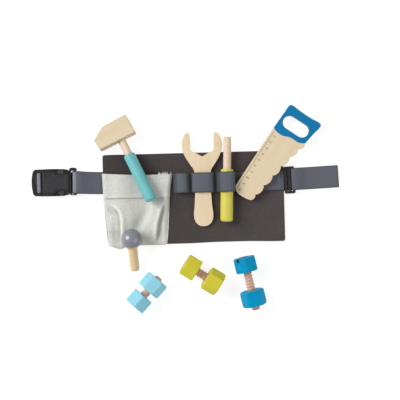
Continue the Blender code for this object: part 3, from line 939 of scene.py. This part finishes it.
def shade_folds(obj):
    """Stores how far each point of the pocket stands above the cloth round it, as painted shade in its
    valleys, and how its slope faces the light from the left, as painted light.

    Added to it are two strips of painted light, painted shade in the hollow between them, and the painted
    shadow under the hem.
    """
    layer = obj.data.attributes.new("fold", "FLOAT", "POINT")
    offsets = ((-5, 0), (5, 0), (0, -6), (0, 6), (-2.5, 0), (2.5, 0))

    def height(x, y):
        """The height with the swell that the cloth has well inside its side seams."""
        return pocket_height(x, y, 9.0)

    for i, vert in enumerate(obj.data.vertices):
        x, y = vert.co.x / MM, vert.co.y / MM
        around = sum(height(x + a, y + b) for a, b in offsets) / len(offsets)
        slope = height(x + 2.0, y) - height(x - 2.0, y)
        # Painted light on two strips and painted shade in the hollow between them.
        painted_light = 0.17 * dent(x, -101.0, 7.0) + 0.20 * dent(x, -48.0, 6.0) - 0.27 * dent(x, -76.0, 12.0)
        # Painted shadow under the hem.
        hem = -0.42 * dent(y, 17.3, 0.9) * ease(x, -46.0, -56.0)
        # Painted shade in valleys and painted light on slopes that face the light from the left.
        value = 0.5 + 0.30 * (height(x, y) - around) + 0.09 * slope
        layer.data[i].value = value + hem + painted_light * ease(y, -36.0, -20.0)


def pocket():
    """One canvas pocket with a deep hem, folds at both lower corners and sewn sides."""
    edge = (0.0, 0.006, 0.013, 0.022, 0.033, 0.046)
    inner = [0.06 + 0.88 * i / 74 for i in range(75)]
    us = list(edge) + inner + [1 - u for u in reversed(edge)]
    ys = [-50.5, -50.2, -49.6, -48.8]
    y = -47.6
    while y < 50.0:
        ys.append(y)
        y += 0.55 if 15.0 < y < 24.0 else 1.5
    ys += [50.2, 50.8, 51.3]
    thick, width = 1.3, 88

    def rim(u, y):
        return turned_edge(min(y - ys[0], ys[-1] - y, u * width, (1 - u) * width), 0.65)

    obj = sheet_of_cloth(
        "pocket_canvas", us, ys, lambda u, y: tuple(pocket_point(u, y))[:2],
        lambda u, y: pocket_point(u, y).z + thick / 2 * rim(u, y),
        lambda u, y: pocket_point(u, y).z - thick / 2 * rim(u, y),
        POCKET_CLOTH,
    )
    shade_folds(obj)
    show(obj, "belt", ["pocket"])

    proud, count, pitch = Vector((0, 0, 0.62)), 60, 2.9

    def row_between(start, span):
        """Stitch places from one (u, y) over a span of u and of y."""
        shares = range(count + 1)
        line = [(start[0] + span[0] * i / count, start[1] + span[1] * i / count) for i in shares]
        return seam([pocket_point(u, y) + proud for u, y in line], pitch)

    spots = []
    for y in (22.2, 19.4):
        spots += row_between((0.02, y), (0.96, 0.0))
    for u in (0.028, 0.972):
        spots += row_between((u, -47.0), (0.0, 96.0))
    spots += row_between((0.05, -47.6), (0.92, 0.0))
    rows = stitches("pocket_stitches", spots, PALE_THREAD)
    show(rows, "belt")

    tuft = frayed_corner()
    show(tuft, "belt")


def frayed_corner():
    """Loose threads where the pocket's top hem ends at its right corner."""
    points, faces, rings, sides = [], [], 5, 5
    for _ in range(46):
        u = 0.80 + 0.19 * dice.random()
        start = pocket_point(u, 51.0) + Vector((0, 0.2, 0.2))
        lean = Vector((dice.uniform(-0.9, 0.9), dice.uniform(0.5, 1.4), dice.uniform(-0.1, 0.9)))
        lean = lean.normalized()
        length = dice.uniform(1.4, 4.6)
        bend = Vector((dice.uniform(-1, 1), dice.uniform(-0.6, 0.3), dice.uniform(-0.8, 0.1))) * 1.3
        first = len(points)
        for k in range(rings):
            share = k / (rings - 1)
            middle = start + lean * (length * share) + bend * share * share
            radius = 0.36 * (1 - 0.6 * share)
            for n in range(sides):
                angle = math.tau * n / sides
                points.append(middle + Vector((math.cos(angle), 0.3, math.sin(angle))) * radius)
        faces += tube_faces(rings, sides, first)
    return piece("pocket_fray", points, faces, None, WHITE_THREAD, 80.0)


def web_length(path):
    """A webbing path's length in metres."""
    route = route_along(path, 1.0)
    return sum((Vector(b) - Vector(a)).length for a, b in zip(route, route[1:])) * MM


def declare_web(obj, path):
    web_length(path)


def loop_webbing():
    """The strip across the apron, sewn down between its three loops."""
    flat = PANEL[1] + 0.3 + WEB / 2
    path = [
        (-16.6, flat), (-14.6, flat), (-13.2, 7.6), (-12.0, 12.2), (-9.0, 15.2), (-3.0, 16.4),
        (1.6, 15.2), (4.0, 12.2), (5.1, 7.6), (6.4, flat), (9.2, flat),
        (10.3, 7.0), (10.7, 10.2), (12.6, 11.8), (17.5, 13.0), (26.0, 13.4), (35.0, 13.0),
        (39.2, 11.8), (41.1, 10.2), (41.5, 7.0), (42.6, flat), (47.4, flat),
        (49.2, 7.4), (49.4, 15.0), (50.2, 22.8), (53.6, 26.6), (59.8, 27.7), (66.6, 26.6),
        (70.2, 23.3), (71.0, 15.0), (71.1, 7.2), (72.4, flat), (90.0, flat), (115.0, flat), (141.4, flat),
    ]
    place = Matrix.Translation((0, (BELT_Y - 0.6) * MM, 0))
    obj = ribbon("loop_webbing", path, LOOP_WIDTH, place, LOOP_CLOTH)
    show(obj, "belt", ["webbing_loops"])

    spots = []
    top = flat + WEB / 2 + 0.12
    for x in (-15.6, 7.8, 43.9, 72.4, 74.6, 137.6, 139.6):
        spots += seam([(x, y, top) for y in (-14.0, 14.0)], 2.3)
    for y in (-13.2, 13.2):
        spots += seam([(x, y, top) for x in (76.0, 136.0)], 3.0)
    rows = stitches("loop_stitches", spots, SLATE_THREAD, place, 1.9, 0.6)
    show(rows, "belt")
    declare_web(obj, path)


def belt_ends():
    """The belt's left end at the buckle, its right end through the slider, and its back run.

    Paths are (x, z) along their end of the belt. Folds are where the webbing gets a painted highlight.
    """
    left = [
        (13.0, TUCK_Z), (-2.0, TUCK_Z), (-12.0, 3.4), (-24.0, 7.2), (-32.4, 10.2), (-40.0, 10.2),
        (-42.2, 9.3), (-42.8, 6.9), (-42.2, 4.4), (-40.2, 3.4), (-32.0, 2.9), (-22.0, TUCK_Z),
    ]
    lean = [(x, z, 0.9 * ease(x, -18.0, -38.0)) for x, z in left]
    cloth = webbing_cloth("belt_webbing_left", srgb(91, 94, 104), srgb(74, 73, 80), painted_light=(52.0, 59.5))
    obj = ribbon("left_strap", lean, WEB_WIDTH, end_frame(LEFT_END), cloth, 0.5)
    show(obj, "belt", ["strap_left"])
    declare_web(obj, left)

    right = [
        (-14.0, TUCK_Z), (9.0, TUCK_Z), (10.8, 2.9), (11.3, 4.4), (11.7, 6.0), (13.0, 6.9), (16.8, 7.0),
        (23.0, 5.4), (33.0, 2.7), (60.0, 2.6), (71.5, 3.2), (76.8, 3.3), (78.3, 2.3),
        (78.1, 1.2), (76.6, BACK_Z), (60.0, BACK_Z),
    ]
    place = end_frame(RIGHT_END)
    near, far = ribbon_halves("right_strap", right, place)
    for obj, start, stop, bodies in (
        (near, -4.0, 6.0, ("belt", "strap_slider")),
        (far, 16.0, 62.0, ("strap_slider", "belt")),
    ):
        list(bodies)
        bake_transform(obj)
        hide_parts("strap_right")
    declare_web(near, right[:5])
    declare_web(far, right[4:])

    frame_left = end_frame(LEFT_END)
    start = place @ Vector((58.9 * MM, 0, 0))
    under = [(-91.2, BACK_Z), (-92.9, 0.9), (-94.4, 2.3), (-94.9, 4.8), (-94.4, 7.6), (-92.9, 9.4)]
    over = [(-90.6, 9.9), (-88.5, 9.0), (-87.2, 6.4), (-86.5, 3.7)]
    over += [(-85.1, 2.4), (-80.0, 2.3), (-68.0, 2.3)]
    back = [(start.x / MM, BACK_Z, start.y / MM), (142.0, BACK_Z, 38.3), (0.0, BACK_Z, 39.6)]
    back += [(-118.0, BACK_Z, 40.4), (-200.0, BACK_Z, 42.6)]
    for x, z in under + over:
        point = frame_left @ Vector((x * MM, 0, 0))
        back.append((point.x / MM, z, point.y / MM))
    # The span of the back strap's fold at the buckle, which gets a painted highlight.
    fold = (web_length(back[:9]) / MM, web_length(back[:13]) / MM)
    cloth = webbing_cloth("belt_webbing_back", srgb(96, 99, 109), srgb(74, 73, 80), BACK_WIDTH, painted_light=fold)
    obj = ribbon("back_strap", back, BACK_WIDTH, None, cloth, 0.8)
    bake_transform(obj)
    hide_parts("strap_back")
    declare_web(obj, back)


def ribbon_halves(name, path, place):
    """The right strap in two pieces that meet inside the slider's slot."""
    near = ribbon(name + "_near", path[:5], WEB_WIDTH, place, RIGHT_CLOTH, 0.5)
    far = ribbon(name + "_far", path[4:], WEB_WIDTH, place, RIGHT_CLOTH, 0.5)
    return near, far


# ----------------------------------------------------------------- hardware


def moulding(obj, material, edge, body, nodes=()):
    """Gives a carved plastic piece its plastic and its soft edges, and lets it ride."""
    repaint(obj, material)
    round_edges(obj, edge, 3, 40.0)
    show(obj, body, nodes)


def buckle():
    """The side-release buckle: a socket with a ribbed panel, the prong's base and two latch pads.

    The socket has a hollow, a slot for the webbing, and on each side a scoop in its top plate over
    a window that keeps the bottom plate.
    """
    place = end_frame(BUCKLE)
    above, beside = 15, 22.0  # Cutters reach this far, past the socket's top and its sides.
    half = [(0.3, 0.0), (0.5, -5.0), (1.1, -10.0), (2.0, -14.8), (3.3, -17.6), (5.6, -19.0)]
    half += [(12.0, -19.2), (20.0, -19.3), (22.5, -19.5), (34.0, -19.5), (45.5, -19.3), (48.4, -18.6)]
    half += [(51.4, -18.2), (53.0, -17.2), (53.7, -15.6)]
    outline = half + [(x, -y) for x, y in reversed(half[1:])]
    body = slab("buckle_body", [outline], 3.4, 13.0, place, edge=0)
    carve(body, slab("slot_cutter", [rounded((5.2, 15.0), (-15.1, 15.1), 1.6)], 1, above, place, edge=0))
    carve(body, block("cavity_cutter", (24.0, -13.2, 5.3), (58.0, 13.2, 11.1), place))
    for side in (-1, 1):
        lens = [(x, side * y) for x, y in arc((42.2, 23.4), 12.0, 200, 340, 25)]
        lens += [(50.0, side * 25.0), (35.0, side * 25.0)]
        carve(body, slab("scoop_cutter", [lens], 10.9, above, place, edge=0))
        low, high = sorted((side * 12.8, side * beside))
        carve(body, block("window_cutter", (36.8, low, 5.4), (47.2, high, above), place))
    carve(body, block("bar_joiner", (8.2, -17.0, 2.0), (10.7, 17.0, 4.1), place), "UNION")
    moulding(body, GLOSS_PLASTIC, 0.7, "socket", ["buckle_socket"])

    edge = [(16.6, -14.6), (31.6, -14.6), (34.0, -11.6), (36.4, -10.8)]
    edge += [(50.6, -10.8), (52.2, -9.4), (52.4, 0.0)]
    outline = edge + [(x, -y) for x, y in reversed(edge[:-1])]
    panel = slab("buckle_panel", [outline], 12.7, 13.08, place, edge=0)
    for i in range(19):
        x = 17.8 + i * 1.85
        reach = 10.2 if x > 33.0 else 14.0
        ridge = [(x - 0.5, -reach), (x + 0.5, -reach), (x + 0.5, reach), (x - 0.5, reach)]
        carve(panel, slab("rib_joiner", [ridge], 12.9, 13.34, place, edge=0), "UNION")
    moulding(panel, BLACK_PLASTIC, 0, "socket")

    outline = [
        (54.0, -15.4), (54.4, -17.4), (55.6, -18.6), (58.4, -18.9), (62.2, -18.9), (64.6, -17.9),
        (64.6, -17.5), (56.7, -17.5), (56.7, 16.3), (64.6, 16.3), (64.6, 18.6), (63.6, 20.1),
        (61.6, 20.7), (57.0, 20.7), (54.9, 19.9), (54.0, 17.4),
    ]
    prong = slab("prong_base", [outline], 4.3, 12.3, place, edge=0)
    carve(prong, block("prong_bar", (60.0, -18.1, 5.1), (63.8, 18.6, 8.3), place), "UNION")
    carve(prong, block("prong_lip", (48.0, -12.6, 5.45), (55.2, 12.6, 5.8), place), "UNION")
    carve(prong, block("prong_tongue", (28.0, -3.0, 6.0), (55.0, 3.0, 10.4), place), "UNION")
    carve(prong, block("prong_root", (49.0, -5.2, 6.2), (55.2, 5.2, 10.2), place), "UNION")
    moulding(prong, GLOSS_PLASTIC, 0.8, "belt", ["buckle_prong"])

    for name, side in (("upper", 1), ("lower", -1)):
        arm_place = place @ Matrix.Translation((54.2 * MM, side * 9.5 * MM, 0))
        arm = [(-0.8, -1.5), (-0.8, 1.5), (-7.6, 3.0), (-8.2, 6.4), (-8.9, 7.8), (-10.2, 8.8), (-12.6, 9.1)]
        arm += [(-15.0, 9.0), (-16.8, 6.4), (-17.0, 3.2), (-18.2, 2.6), (-18.2, -2.1), (-12.0, -1.5)]
        shape = [(x, side * y) for x, y in arm]
        pad = slab("latch_pad_" + name, [shape], 5.9, 10.6, arm_place, edge=0)
        # The pads take the paler plastic, a painted highlight.
        moulding(pad, PAD_HIGHLIGHT_PLASTIC, 0.6, "arm_" + name, ["latch_arm_" + name])


def slider():
    """A black three-bar slider with softly rounded bars."""
    slots = [rounded(x, (-16.6, 16.0), 0.9, 4) for x in ((4.2, 5.8), (9.8, 12.4))]
    edge = rounded((0.3, 15.8), (-20.4, 18.6), 2.4, 8)
    obj = slab("strap_slider", [edge] + slots, 3.4, 5.9, end_frame(RIGHT_END), SLIDER_PLASTIC, 0.75, 3)
    show(obj, "strap_slider", ["slider"])


# -------------------------------------------------------------------- tools


def hammer():
    """A sawn block on a dowel with a thick painted grip."""
    place = tool_frame(*HAMMER)
    head = [(22.9, -1.4), (21.4, 28.1), (-16.6, 26.8), (-35.1, 14.7), (-33.7, -1.4)]
    pale, dark = srgb(217, 199, 170), srgb(208, 188, 153)
    wood = timber("hammer_wood", pale, dark, (0.05, 1.0, 1.0), 4.2, lined=0.02)
    obj = slab("hammer_block", [list(reversed(head))], -11.0, 11.0, place, wood, 1.3, 3)
    show(obj, "hammer", ["hammer_head"])
    down = place @ turn_about("X", 90)
    stick = timber("dowel_wood", srgb(230, 213, 192), srgb(216, 193, 164), (1.0, 1.0, 0.05), 3.0)
    dowel = [(0, -17.6), (5.0, -17.6), (5.6, -17.0), (5.6, 43.2), (5.0, 44.0), (0, 44.0)]
    show(lathe("hammer_stick", dowel, down, stick), "hammer", ["hammer_dowel"])
    grip = [
        (0, 44.6), (5.9, 44.6), (5.9, 24.8), (7.1, 24.7), (7.9, 25.1), (8.3, 26.0), (8.4, 27.2),
        (8.4, 60.0), (8.4, 92.8), (8.2, 94.9), (7.5, 96.7), (6.3, 97.8), (4.6, 98.2), (0, 98.2),
    ]
    teal = lacquer("teal_paint", srgb(109, 182, 184), 0.36, (1.0, 1.0, 0.05), streak=0.06)
    show(lathe("hammer_handle", grip, down, teal, 72), "hammer", ["hammer_grip"])


def wrench():
    """An open-ended wrench sawn from plywood."""
    upper = [
        (0.2, 74.6), (9.4, 79.8), (15.0, 82.6), (16.4, 84.6), (16.7, 92.0), (16.8, 101.0), (17.6, 107.2),
        (20.0, 109.4), (23.4, 107.4), (26.4, 102.6), (28.6, 95.4), (28.8, 88.0), (26.8, 80.0), (22.4, 71.0),
        (16.6, 62.0), (12.7, 56.0), (11.6, 50.0), (11.1, 38.0), (11.4, 24.0), (12.6, 4.0),
        (13.8, -8.0), (13.2, -15.0), (10.2, -20.8), (5.6, -24.2), (0.0, -25.3),
    ]
    smooth = upper[:2] + curve_through(upper[1:], 1.2)[1:]
    left = [(-x, y) for x, y in reversed(smooth[1:-1])]
    outline = [(x + 25.75, y) for x, y in smooth + left]
    wood = Look("wrench_plywood")
    finish_ply(wood, srgb(229, 209, 178), srgb(221, 198, 162), WRENCH_Z, (1.0, 0.07, 1.0))
    obj = slab("wrench_ply", [outline], *WRENCH_Z, None, wood.material, 0.8, 3)
    show(obj, "wrench_tool", ["wrench"])


def finish_ply(look, pale, dark, heights, grain=(0.07, 1.0, 1.0)):
    color, fibre, _, _ = ply_color(look, pale, dark, heights, grain)
    look.done(color, look.ramp(fibre, 0.2, 0.8, 0.66, 0.52), look.bump(fibre, 0.07, 0.5))


def screwdriver():
    """A dowel with a flattened tip in a turned, painted handle."""
    place = tool_frame(*DRIVER) @ turn_about("X", -90)
    handle = [
        (0, 0), (5.2, 0), (7.0, 0.35), (8.2, 1.3), (8.8, 2.8), (9.0, 4.4), (9.0, 40.0), (9.0, 72.4),
        (8.8, 73.4), (8.1, 74.7), (7.2, 75.2), (5.95, 75.2), (5.95, 52.0), (0, 52.0),
    ]
    lime = lacquer("lime_paint", srgb(212, 203, 84), 0.36, (1.0, 1.0, 0.05), streak=0.05)
    obj = lathe("driver_handle", handle, place, lime, 72)
    show(obj, "screwdriver", ["screwdriver_handle"])
    # Radius, z, and how flat the blade is there.
    rings = [(5.6, 52.4, 1.0), (5.6, 110.4, 1.0), (5.6, 112.8, 0.94)]
    rings += [(5.5, 117.2, 0.66), (5.35, 120.5, 0.36), (5.2, 121.3, 0.30)]
    count = 56
    points = [point for radius, z, flat in rings for point in circle(radius, z, count, flat)]
    faces = tube_faces(len(rings), count)
    stick = timber("blade_wood", srgb(226, 204, 180), srgb(214, 188, 160), (1.0, 1.0, 0.05), 3.0)
    obj = piece("driver_blade", points, faces, place, stick)
    show(obj, "screwdriver", ["screwdriver_blade"])


def saw():
    """A plywood saw with scalloped teeth, a painted handle and a printed ruler."""
    place = Matrix.Translation((SAW_TIP[0] * MM, SAW_TIP[1] * MM, 0)) @ turn_about("Z", SAW_TURN)
    notches = [
        (7.4, -29.0), (24.6, -31.2), (43.1, -34.2), (60.5, -36.6), (78.8, -40.3), (95.6, -43.7),
        (106.3, -47.6),
    ]
    tip = [(3.0, 1.6), (0.6, 0.5), (-1.8, -1.3), (-3.8, -4.2), (-5.4, -9.6), (-5.3, -16.0), (-4.4, -24.0)]
    tip += [(-2.6, -28.4), (0.8, -30.4), (4.6, -30.7)]
    outline = curve_through(tip, 1.0)[:-1]
    for start, stop in zip(notches, notches[1:]):
        a, b = Vector(start), Vector(stop)
        out = Vector(((b - a).y, -(b - a).x)).normalized()
        outline.append(start)
        for k in range(1, 16):
            t = k / 16
            outline.append(tuple(a.lerp(b, t) + out * 3.9 * math.sin(math.pi * t) ** 0.62))
    end = [(106.3, -48.2), (115.0, -49.4), (125.0, -50.9), (134.5, -52.9), (139.0, -53.2)]
    end += [(141.7, -51.8), (142.6, -48.2), (141.8, -38.0), (141.4, -27.0), (141.8, -15.0)]
    end += [(142.6, -4.2), (141.8, -0.9), (139.0, 0.5), (130.0, 0.9), (99.8, 1.8)]
    outline += curve_through(end, 1.5)
    slot_x, slot_y, radius = 119.6, (-34.4, -13.4), 9.7
    slot = arc((slot_x, slot_y[1]), radius, 0, 180, 25) + arc((slot_x, slot_y[0]), radius, 180, 360, 25)
    paint = saw_look("saw_ply", srgb(225, 208, 178), srgb(219, 199, 164), srgb(0, 116, 168))
    obj = slab("saw_ply", [outline, slot], *SAW_Z, place, paint, 0.8, 3)
    settle(obj)
    bare = Look("saw_slot_wall")
    finish_ply(bare, srgb(222, 206, 178), srgb(214, 196, 164), SAW_Z)
    obj.data.materials.append(bare.material)
    for face in obj.data.polygons:
        x, y = face.center.x / MM - slot_x, face.center.y / MM
        along = min(max(y, slot_y[0]), slot_y[1])
        if abs(face.normal.z) < 0.75 and math.hypot(x, y - along) < radius + 0.5:
            face.material_index = 1
    show(obj, "saw_tool", ["saw"])
    ruler(place)


def ruler(place):
    """A printed rule along the blade's back: a line, ticks and the numbers 1 to 10."""
    ink = Look("ruler_ink")
    spot = ink.position()
    tone = ink.shade(srgb(100, 82, 68), ink.noise(spot, 0.5, 2.0), 0.8, 1.2)
    ink.done(tone, 0.7)
    top = SAW_Z[1]
    bars = [((-0.6, -1.5), (96.6, -1.15))]
    for i in range(98):
        x = 95.4 - i
        reach = 1.9 if i % 10 == 4 else (1.3 if i % 5 == 4 else 0.8)
        bars.append(((x - 0.12, -1.3 - reach), (x + 0.12, -1.3)))
    points, faces = [], []
    for (x0, y0), (x1, y1) in bars:
        first = len(points)
        for z in (top - 0.1, top + 0.03):
            points += [(x0, y0, z), (x1, y0, z), (x1, y1, z), (x0, y1, z)]
        faces += [tuple(first + k for k in (4, 5, 6, 7)), tuple(first + k for k in (3, 2, 1, 0))]
        for k in range(4):
            m = (k + 1) % 4
            faces.append((first + k, first + m, first + 4 + m, first + 4 + k))
    lines = piece("ruler_lines", points, faces, place, ink.material)
    show(lines, "saw_tool")
    for number in range(1, 11):
        text = bpy.data.curves.new("ruler_number", "FONT")
        text.body = str(number)
        text.size = 5.5 * MM
        text.align_x = "CENTER"
        text.align_y = "CENTER"
        text.extrude = 0.03 * MM
        drawn = add_object("ruler_number", text)
        settled = bpy.data.meshes.new_from_object(drawn)
        bpy.data.objects.remove(drawn)
        x = 91.4 - 10.05 * (number - 1)
        spin = Matrix.Translation((x * MM, -5.9 * MM, top * MM)) @ turn_about("Z", 180)
        digit = place_mesh("ruler_number_%02d" % number, settled, place @ spin)
        repaint(digit, ink.material)
        show(digit, "saw_tool")


def nail():
    """A turned grey head on a shouldered dowel."""
    place = tool_frame(*NAIL) @ turn_about("X", -90)
    wood = timber("nail_wood", srgb(234, 205, 164), srgb(218, 184, 138), (1.0, 1.0, 0.05), 3.2)
    shank = [
        (0, 0), (4.4, 0), (5.6, 0.5), (6.4, 1.6), (6.6, 4.0), (6.8, 35.2), (8.4, 36.6), (8.6, 37.2),
        (8.6, 40.7), (4.0, 40.7), (4.0, 51.7), (0, 51.7),
    ]
    show(lathe("nail_stick", shank, place, wood), "nail", ["nail_shank"])
    head = [(0, 52.0), (4.3, 52.0), (4.3, 41.0), (12.2, 41.0), (13.4, 41.6), (14.4, 42.9), (14.8, 44.4)]
    head += [(14.8, 49.0)]
    for i in range(1, 15):
        angle = math.radians(90 * i / 14)
        head.append((14.8 * math.cos(angle), 49.0 + 14.6 * math.sin(angle)))
    head[-1] = (0, 63.6)
    grey = lacquer("lilac_grey_paint", srgb(124, 127, 137), 0.30, (1.0, 1.0, 0.3), streak=0.03, shine=1.0)
    show(lathe("nail_cap", head, place, grey, 72), "nail", ["nail_head"])


def bolt_frame(middle, turn, span):
    """Z along the bolt from head to nut, Y up. The head stands on a corner and the nut on a flat."""
    corner = HEX_FLAT / math.sqrt(3)
    tip = math.asin((corner - HEX_FLAT / 2) / span)
    high = corner * math.cos(tip) + NUT_THICK / 2 * math.sin(tip) + 0.3
    flat = Vector((math.cos(math.radians(turn)), math.sin(math.radians(turn)), 0))
    axis = flat * math.cos(tip) - Vector((0, 0, math.sin(tip)))
    side = Vector((-flat.y, flat.x, 0))
    up = axis.cross(side)
    made = Matrix((side, up, axis)).transposed().to_4x4()
    made.translation = Vector((*middle, high)) * MM
    return made


def hex_block(name, first, thick, bore, through, place, material):
    """A hexagonal block with turned-off corners at both ends and a bore with a small chamfer."""
    half, steps = thick / 2, 96
    corner = HEX_FLAT / math.sqrt(3)
    # How far in from an end, the largest radius there, and how much of the full hexagon is left.
    rim = [(0.0, 15.2, 0.0), (0.12, 15.6, 0.35), (0.5, 16.2, 0.75)]
    rim += [(1.3, 16.9, 1.0), (2.6, 17.3, 1.0), (4.2, 17.45, 1.0)]
    shell = [(-half + inward, limit, full) for inward, limit, full in rim]
    shell += [(half - inward, limit, full) for inward, limit, full in reversed(rim)]
    rings = []
    for z, limit, full in shell:
        ring = []
        for i in range(steps):
            angle = math.tau * i / steps
            turn = (math.degrees(angle) - first) % 60 - 30
            reach = HEX_FLAT / 2 / math.cos(math.radians(turn)) - 0.55 * (1 - full)
            size = min(reach, limit)
            near = 0.30
            size -= near * math.exp(-abs(reach - limit) / near) * 0.5
            ring.append((size * math.cos(angle), size * math.sin(angle), z))
        rings.append(ring)
    if through:
        inner = [(bore + 0.8, half), (bore, half - 0.8), (bore, -half + 0.8), (bore + 0.8, -half)]
    else:
        inner = [(bore + 0.8, half), (bore, half - 0.7), (bore, -2.0), (0.01, -2.0)]
    rings += [circle(radius, z, steps) for radius, z in inner]
    points = [point for ring in rings for point in ring]
    faces = tube_faces(len(rings), steps, capped=not through)
    if through:
        last = (len(rings) - 1) * steps
        faces += [(last + i, last + (i + 1) % steps, (i + 1) % steps, i) for i in range(steps)]
    return piece(name, points, faces, place, material, 34.0)


def bolt(name, middle, turn, span, end, slot_turn, paint):
    """A hexagonal head with a screwdriver slot, a threaded dowel and a nut."""
    place = bolt_frame(middle, turn, span)
    half = HEAD_THICK / 2
    head = hex_block(name + "_cap", 30, HEAD_THICK, THREAD_ROOT + 0.3, False, place, paint)
    spin = place @ turn_about("Z", slot_turn)
    carve(head, block("slot_cutter", (-1.7, -20.0, -half - 2), (1.7, 20.0, -half + 4.5), spin))
    # The slot's inner faces take the painted shade.
    repaint(head, paint, SLOT_SHADE)
    for face in head.data.polygons:
        spot = turn_about("Z", -slot_turn) @ face.center / MM
        if abs(spot.x) < 1.75 and abs(spot.y) < 17.0 and spot.z < -half + 4.7 and spot.z > -half + 0.3:
            face.material_index = 1
    show(head, name, [name + "_head"])

    pale, dark = srgb(222, 184, 160), srgb(200, 156, 132)
    wood = timber(name + "_thread_wood", pale, dark, (1.0, 1.0, 0.1), 2.4, gloss=0.6)
    steps = 48
    start = half + 0.8
    points = circle(THREAD_ROOT - 0.1, -1.6, steps) + circle(THREAD_ROOT - 0.1, start - 0.3, steps)
    rows = int((end - start) / PITCH * 12)
    for row in range(rows + 1):
        z = start + (end - 0.6 - start) * row / rows
        for i in range(steps):
            angle = i / steps
            wave = abs(((z / PITCH - angle) % 1.0) * 2 - 1)
            wave = ease(wave, 0.18, 0.82)
            taper = 1 - 0.45 * ease(z, end - 2.6, end - 0.4)
            radius = THREAD_ROOT + (THREAD_CREST - THREAD_ROOT) * (wave - (1 - taper) * 1.6)
            points.append((radius * math.cos(math.tau * angle), radius * math.sin(math.tau * angle), z))
    points += circle(THREAD_ROOT - 0.9, end, steps)
    faces = tube_faces(len(points) // steps, steps)
    shank = piece(name + "_thread", points, faces, place, wood, 50.0)
    show(shank, name, [name + "_shank"])

    far = place @ Matrix.Translation((0, 0, span * MM))
    nut = hex_block(name + "_ring", 0, NUT_THICK, THREAD_CREST + 0.45, True, far, paint)
    show(nut, name + "_nut_body", [name + "_nut"])


def bolts():
    paints = {
        "bolt_light_blue": srgb(142, 204, 222),
        "bolt_yellow": srgb(206, 198, 60),
        "bolt_blue": srgb(0, 145, 191),
    }
    for name, values in BOLTS.items():
        paint = lacquer(name + "_paint", paints[name], 0.46, (1.0, 1.0, 0.2), streak=0.05, shine=0.08)
        bolt(name, *values, paint)


# -------------------------------------------------------------------- stage


def stage():
    """A plain pale floor, soft studio light and the camera straight above."""
    mesh = bpy.data.meshes.new("floor")
    size = 6.0
    corners = [(-size, -size, 0), (size, -size, 0), (size, size, 0), (-size, size, 0)]
    mesh.from_pydata(corners, [], [(0, 1, 2, 3)])
    floor = add_object("floor", mesh)
    pale = Look("floor_pale")
    tone = pale.shade((0.30, 0.30, 0.30, 1.0), pale.noise(pale.position(), 300.0), 0.99, 1.0)
    pale.done(tone, 0.9, Emission_Color=(1.0, 1.0, 1.0, 1.0), Emission_Strength=0.80)
    mesh.materials.append(pale.material)
    floor.location.z = -0.0003

    def lamp(name, spot, aim, size, power):
        """A round soft light at spot. Places and the size are in metres, and the power in watts."""
        data = bpy.data.lights.new(name, "AREA")
        data.shape = "DISK"
        data.size = size
        data.energy = power
        obj = add_object(name, data)
        obj.location = spot
        obj.rotation_euler = (Vector(aim) - Vector(spot)).to_track_quat("-Z", "Y").to_euler()

    lamp("key", (-1.35, 0.55, 1.25), (0, 0, 0), 1.1, 31.0)
    lamp("fill", (1.4, -0.4, 1.3), (0, 0, 0), 1.6, 11.0)

    world = bpy.data.worlds.new("studio")
    world.use_nodes = True
    world.node_tree.nodes["Background"].inputs["Color"].default_value = (1.0, 1.0, 1.0, 1.0)
    world.node_tree.nodes["Background"].inputs["Strength"].default_value = 0.38
    bpy.context.scene.world = world
    bpy.context.scene.view_settings.view_transform = "Standard"

    data = bpy.data.cameras.new("camera")
    data.lens = 93.75
    data.sensor_width = 36.0
    camera = add_object("camera", data)
    camera.location = ((21.04 - MIDDLE[0]) * MM, (12.39 - MIDDLE[1]) * MM, 1.5)
    camera.rotation_euler = (0, 0, math.radians(-1.5))
    bpy.context.scene.camera = camera


stage()
apron()
pocket()
loop_webbing()
belt_ends()
buckle()
slider()
hammer()
wrench()
screwdriver()
saw()
nail()
bolts()
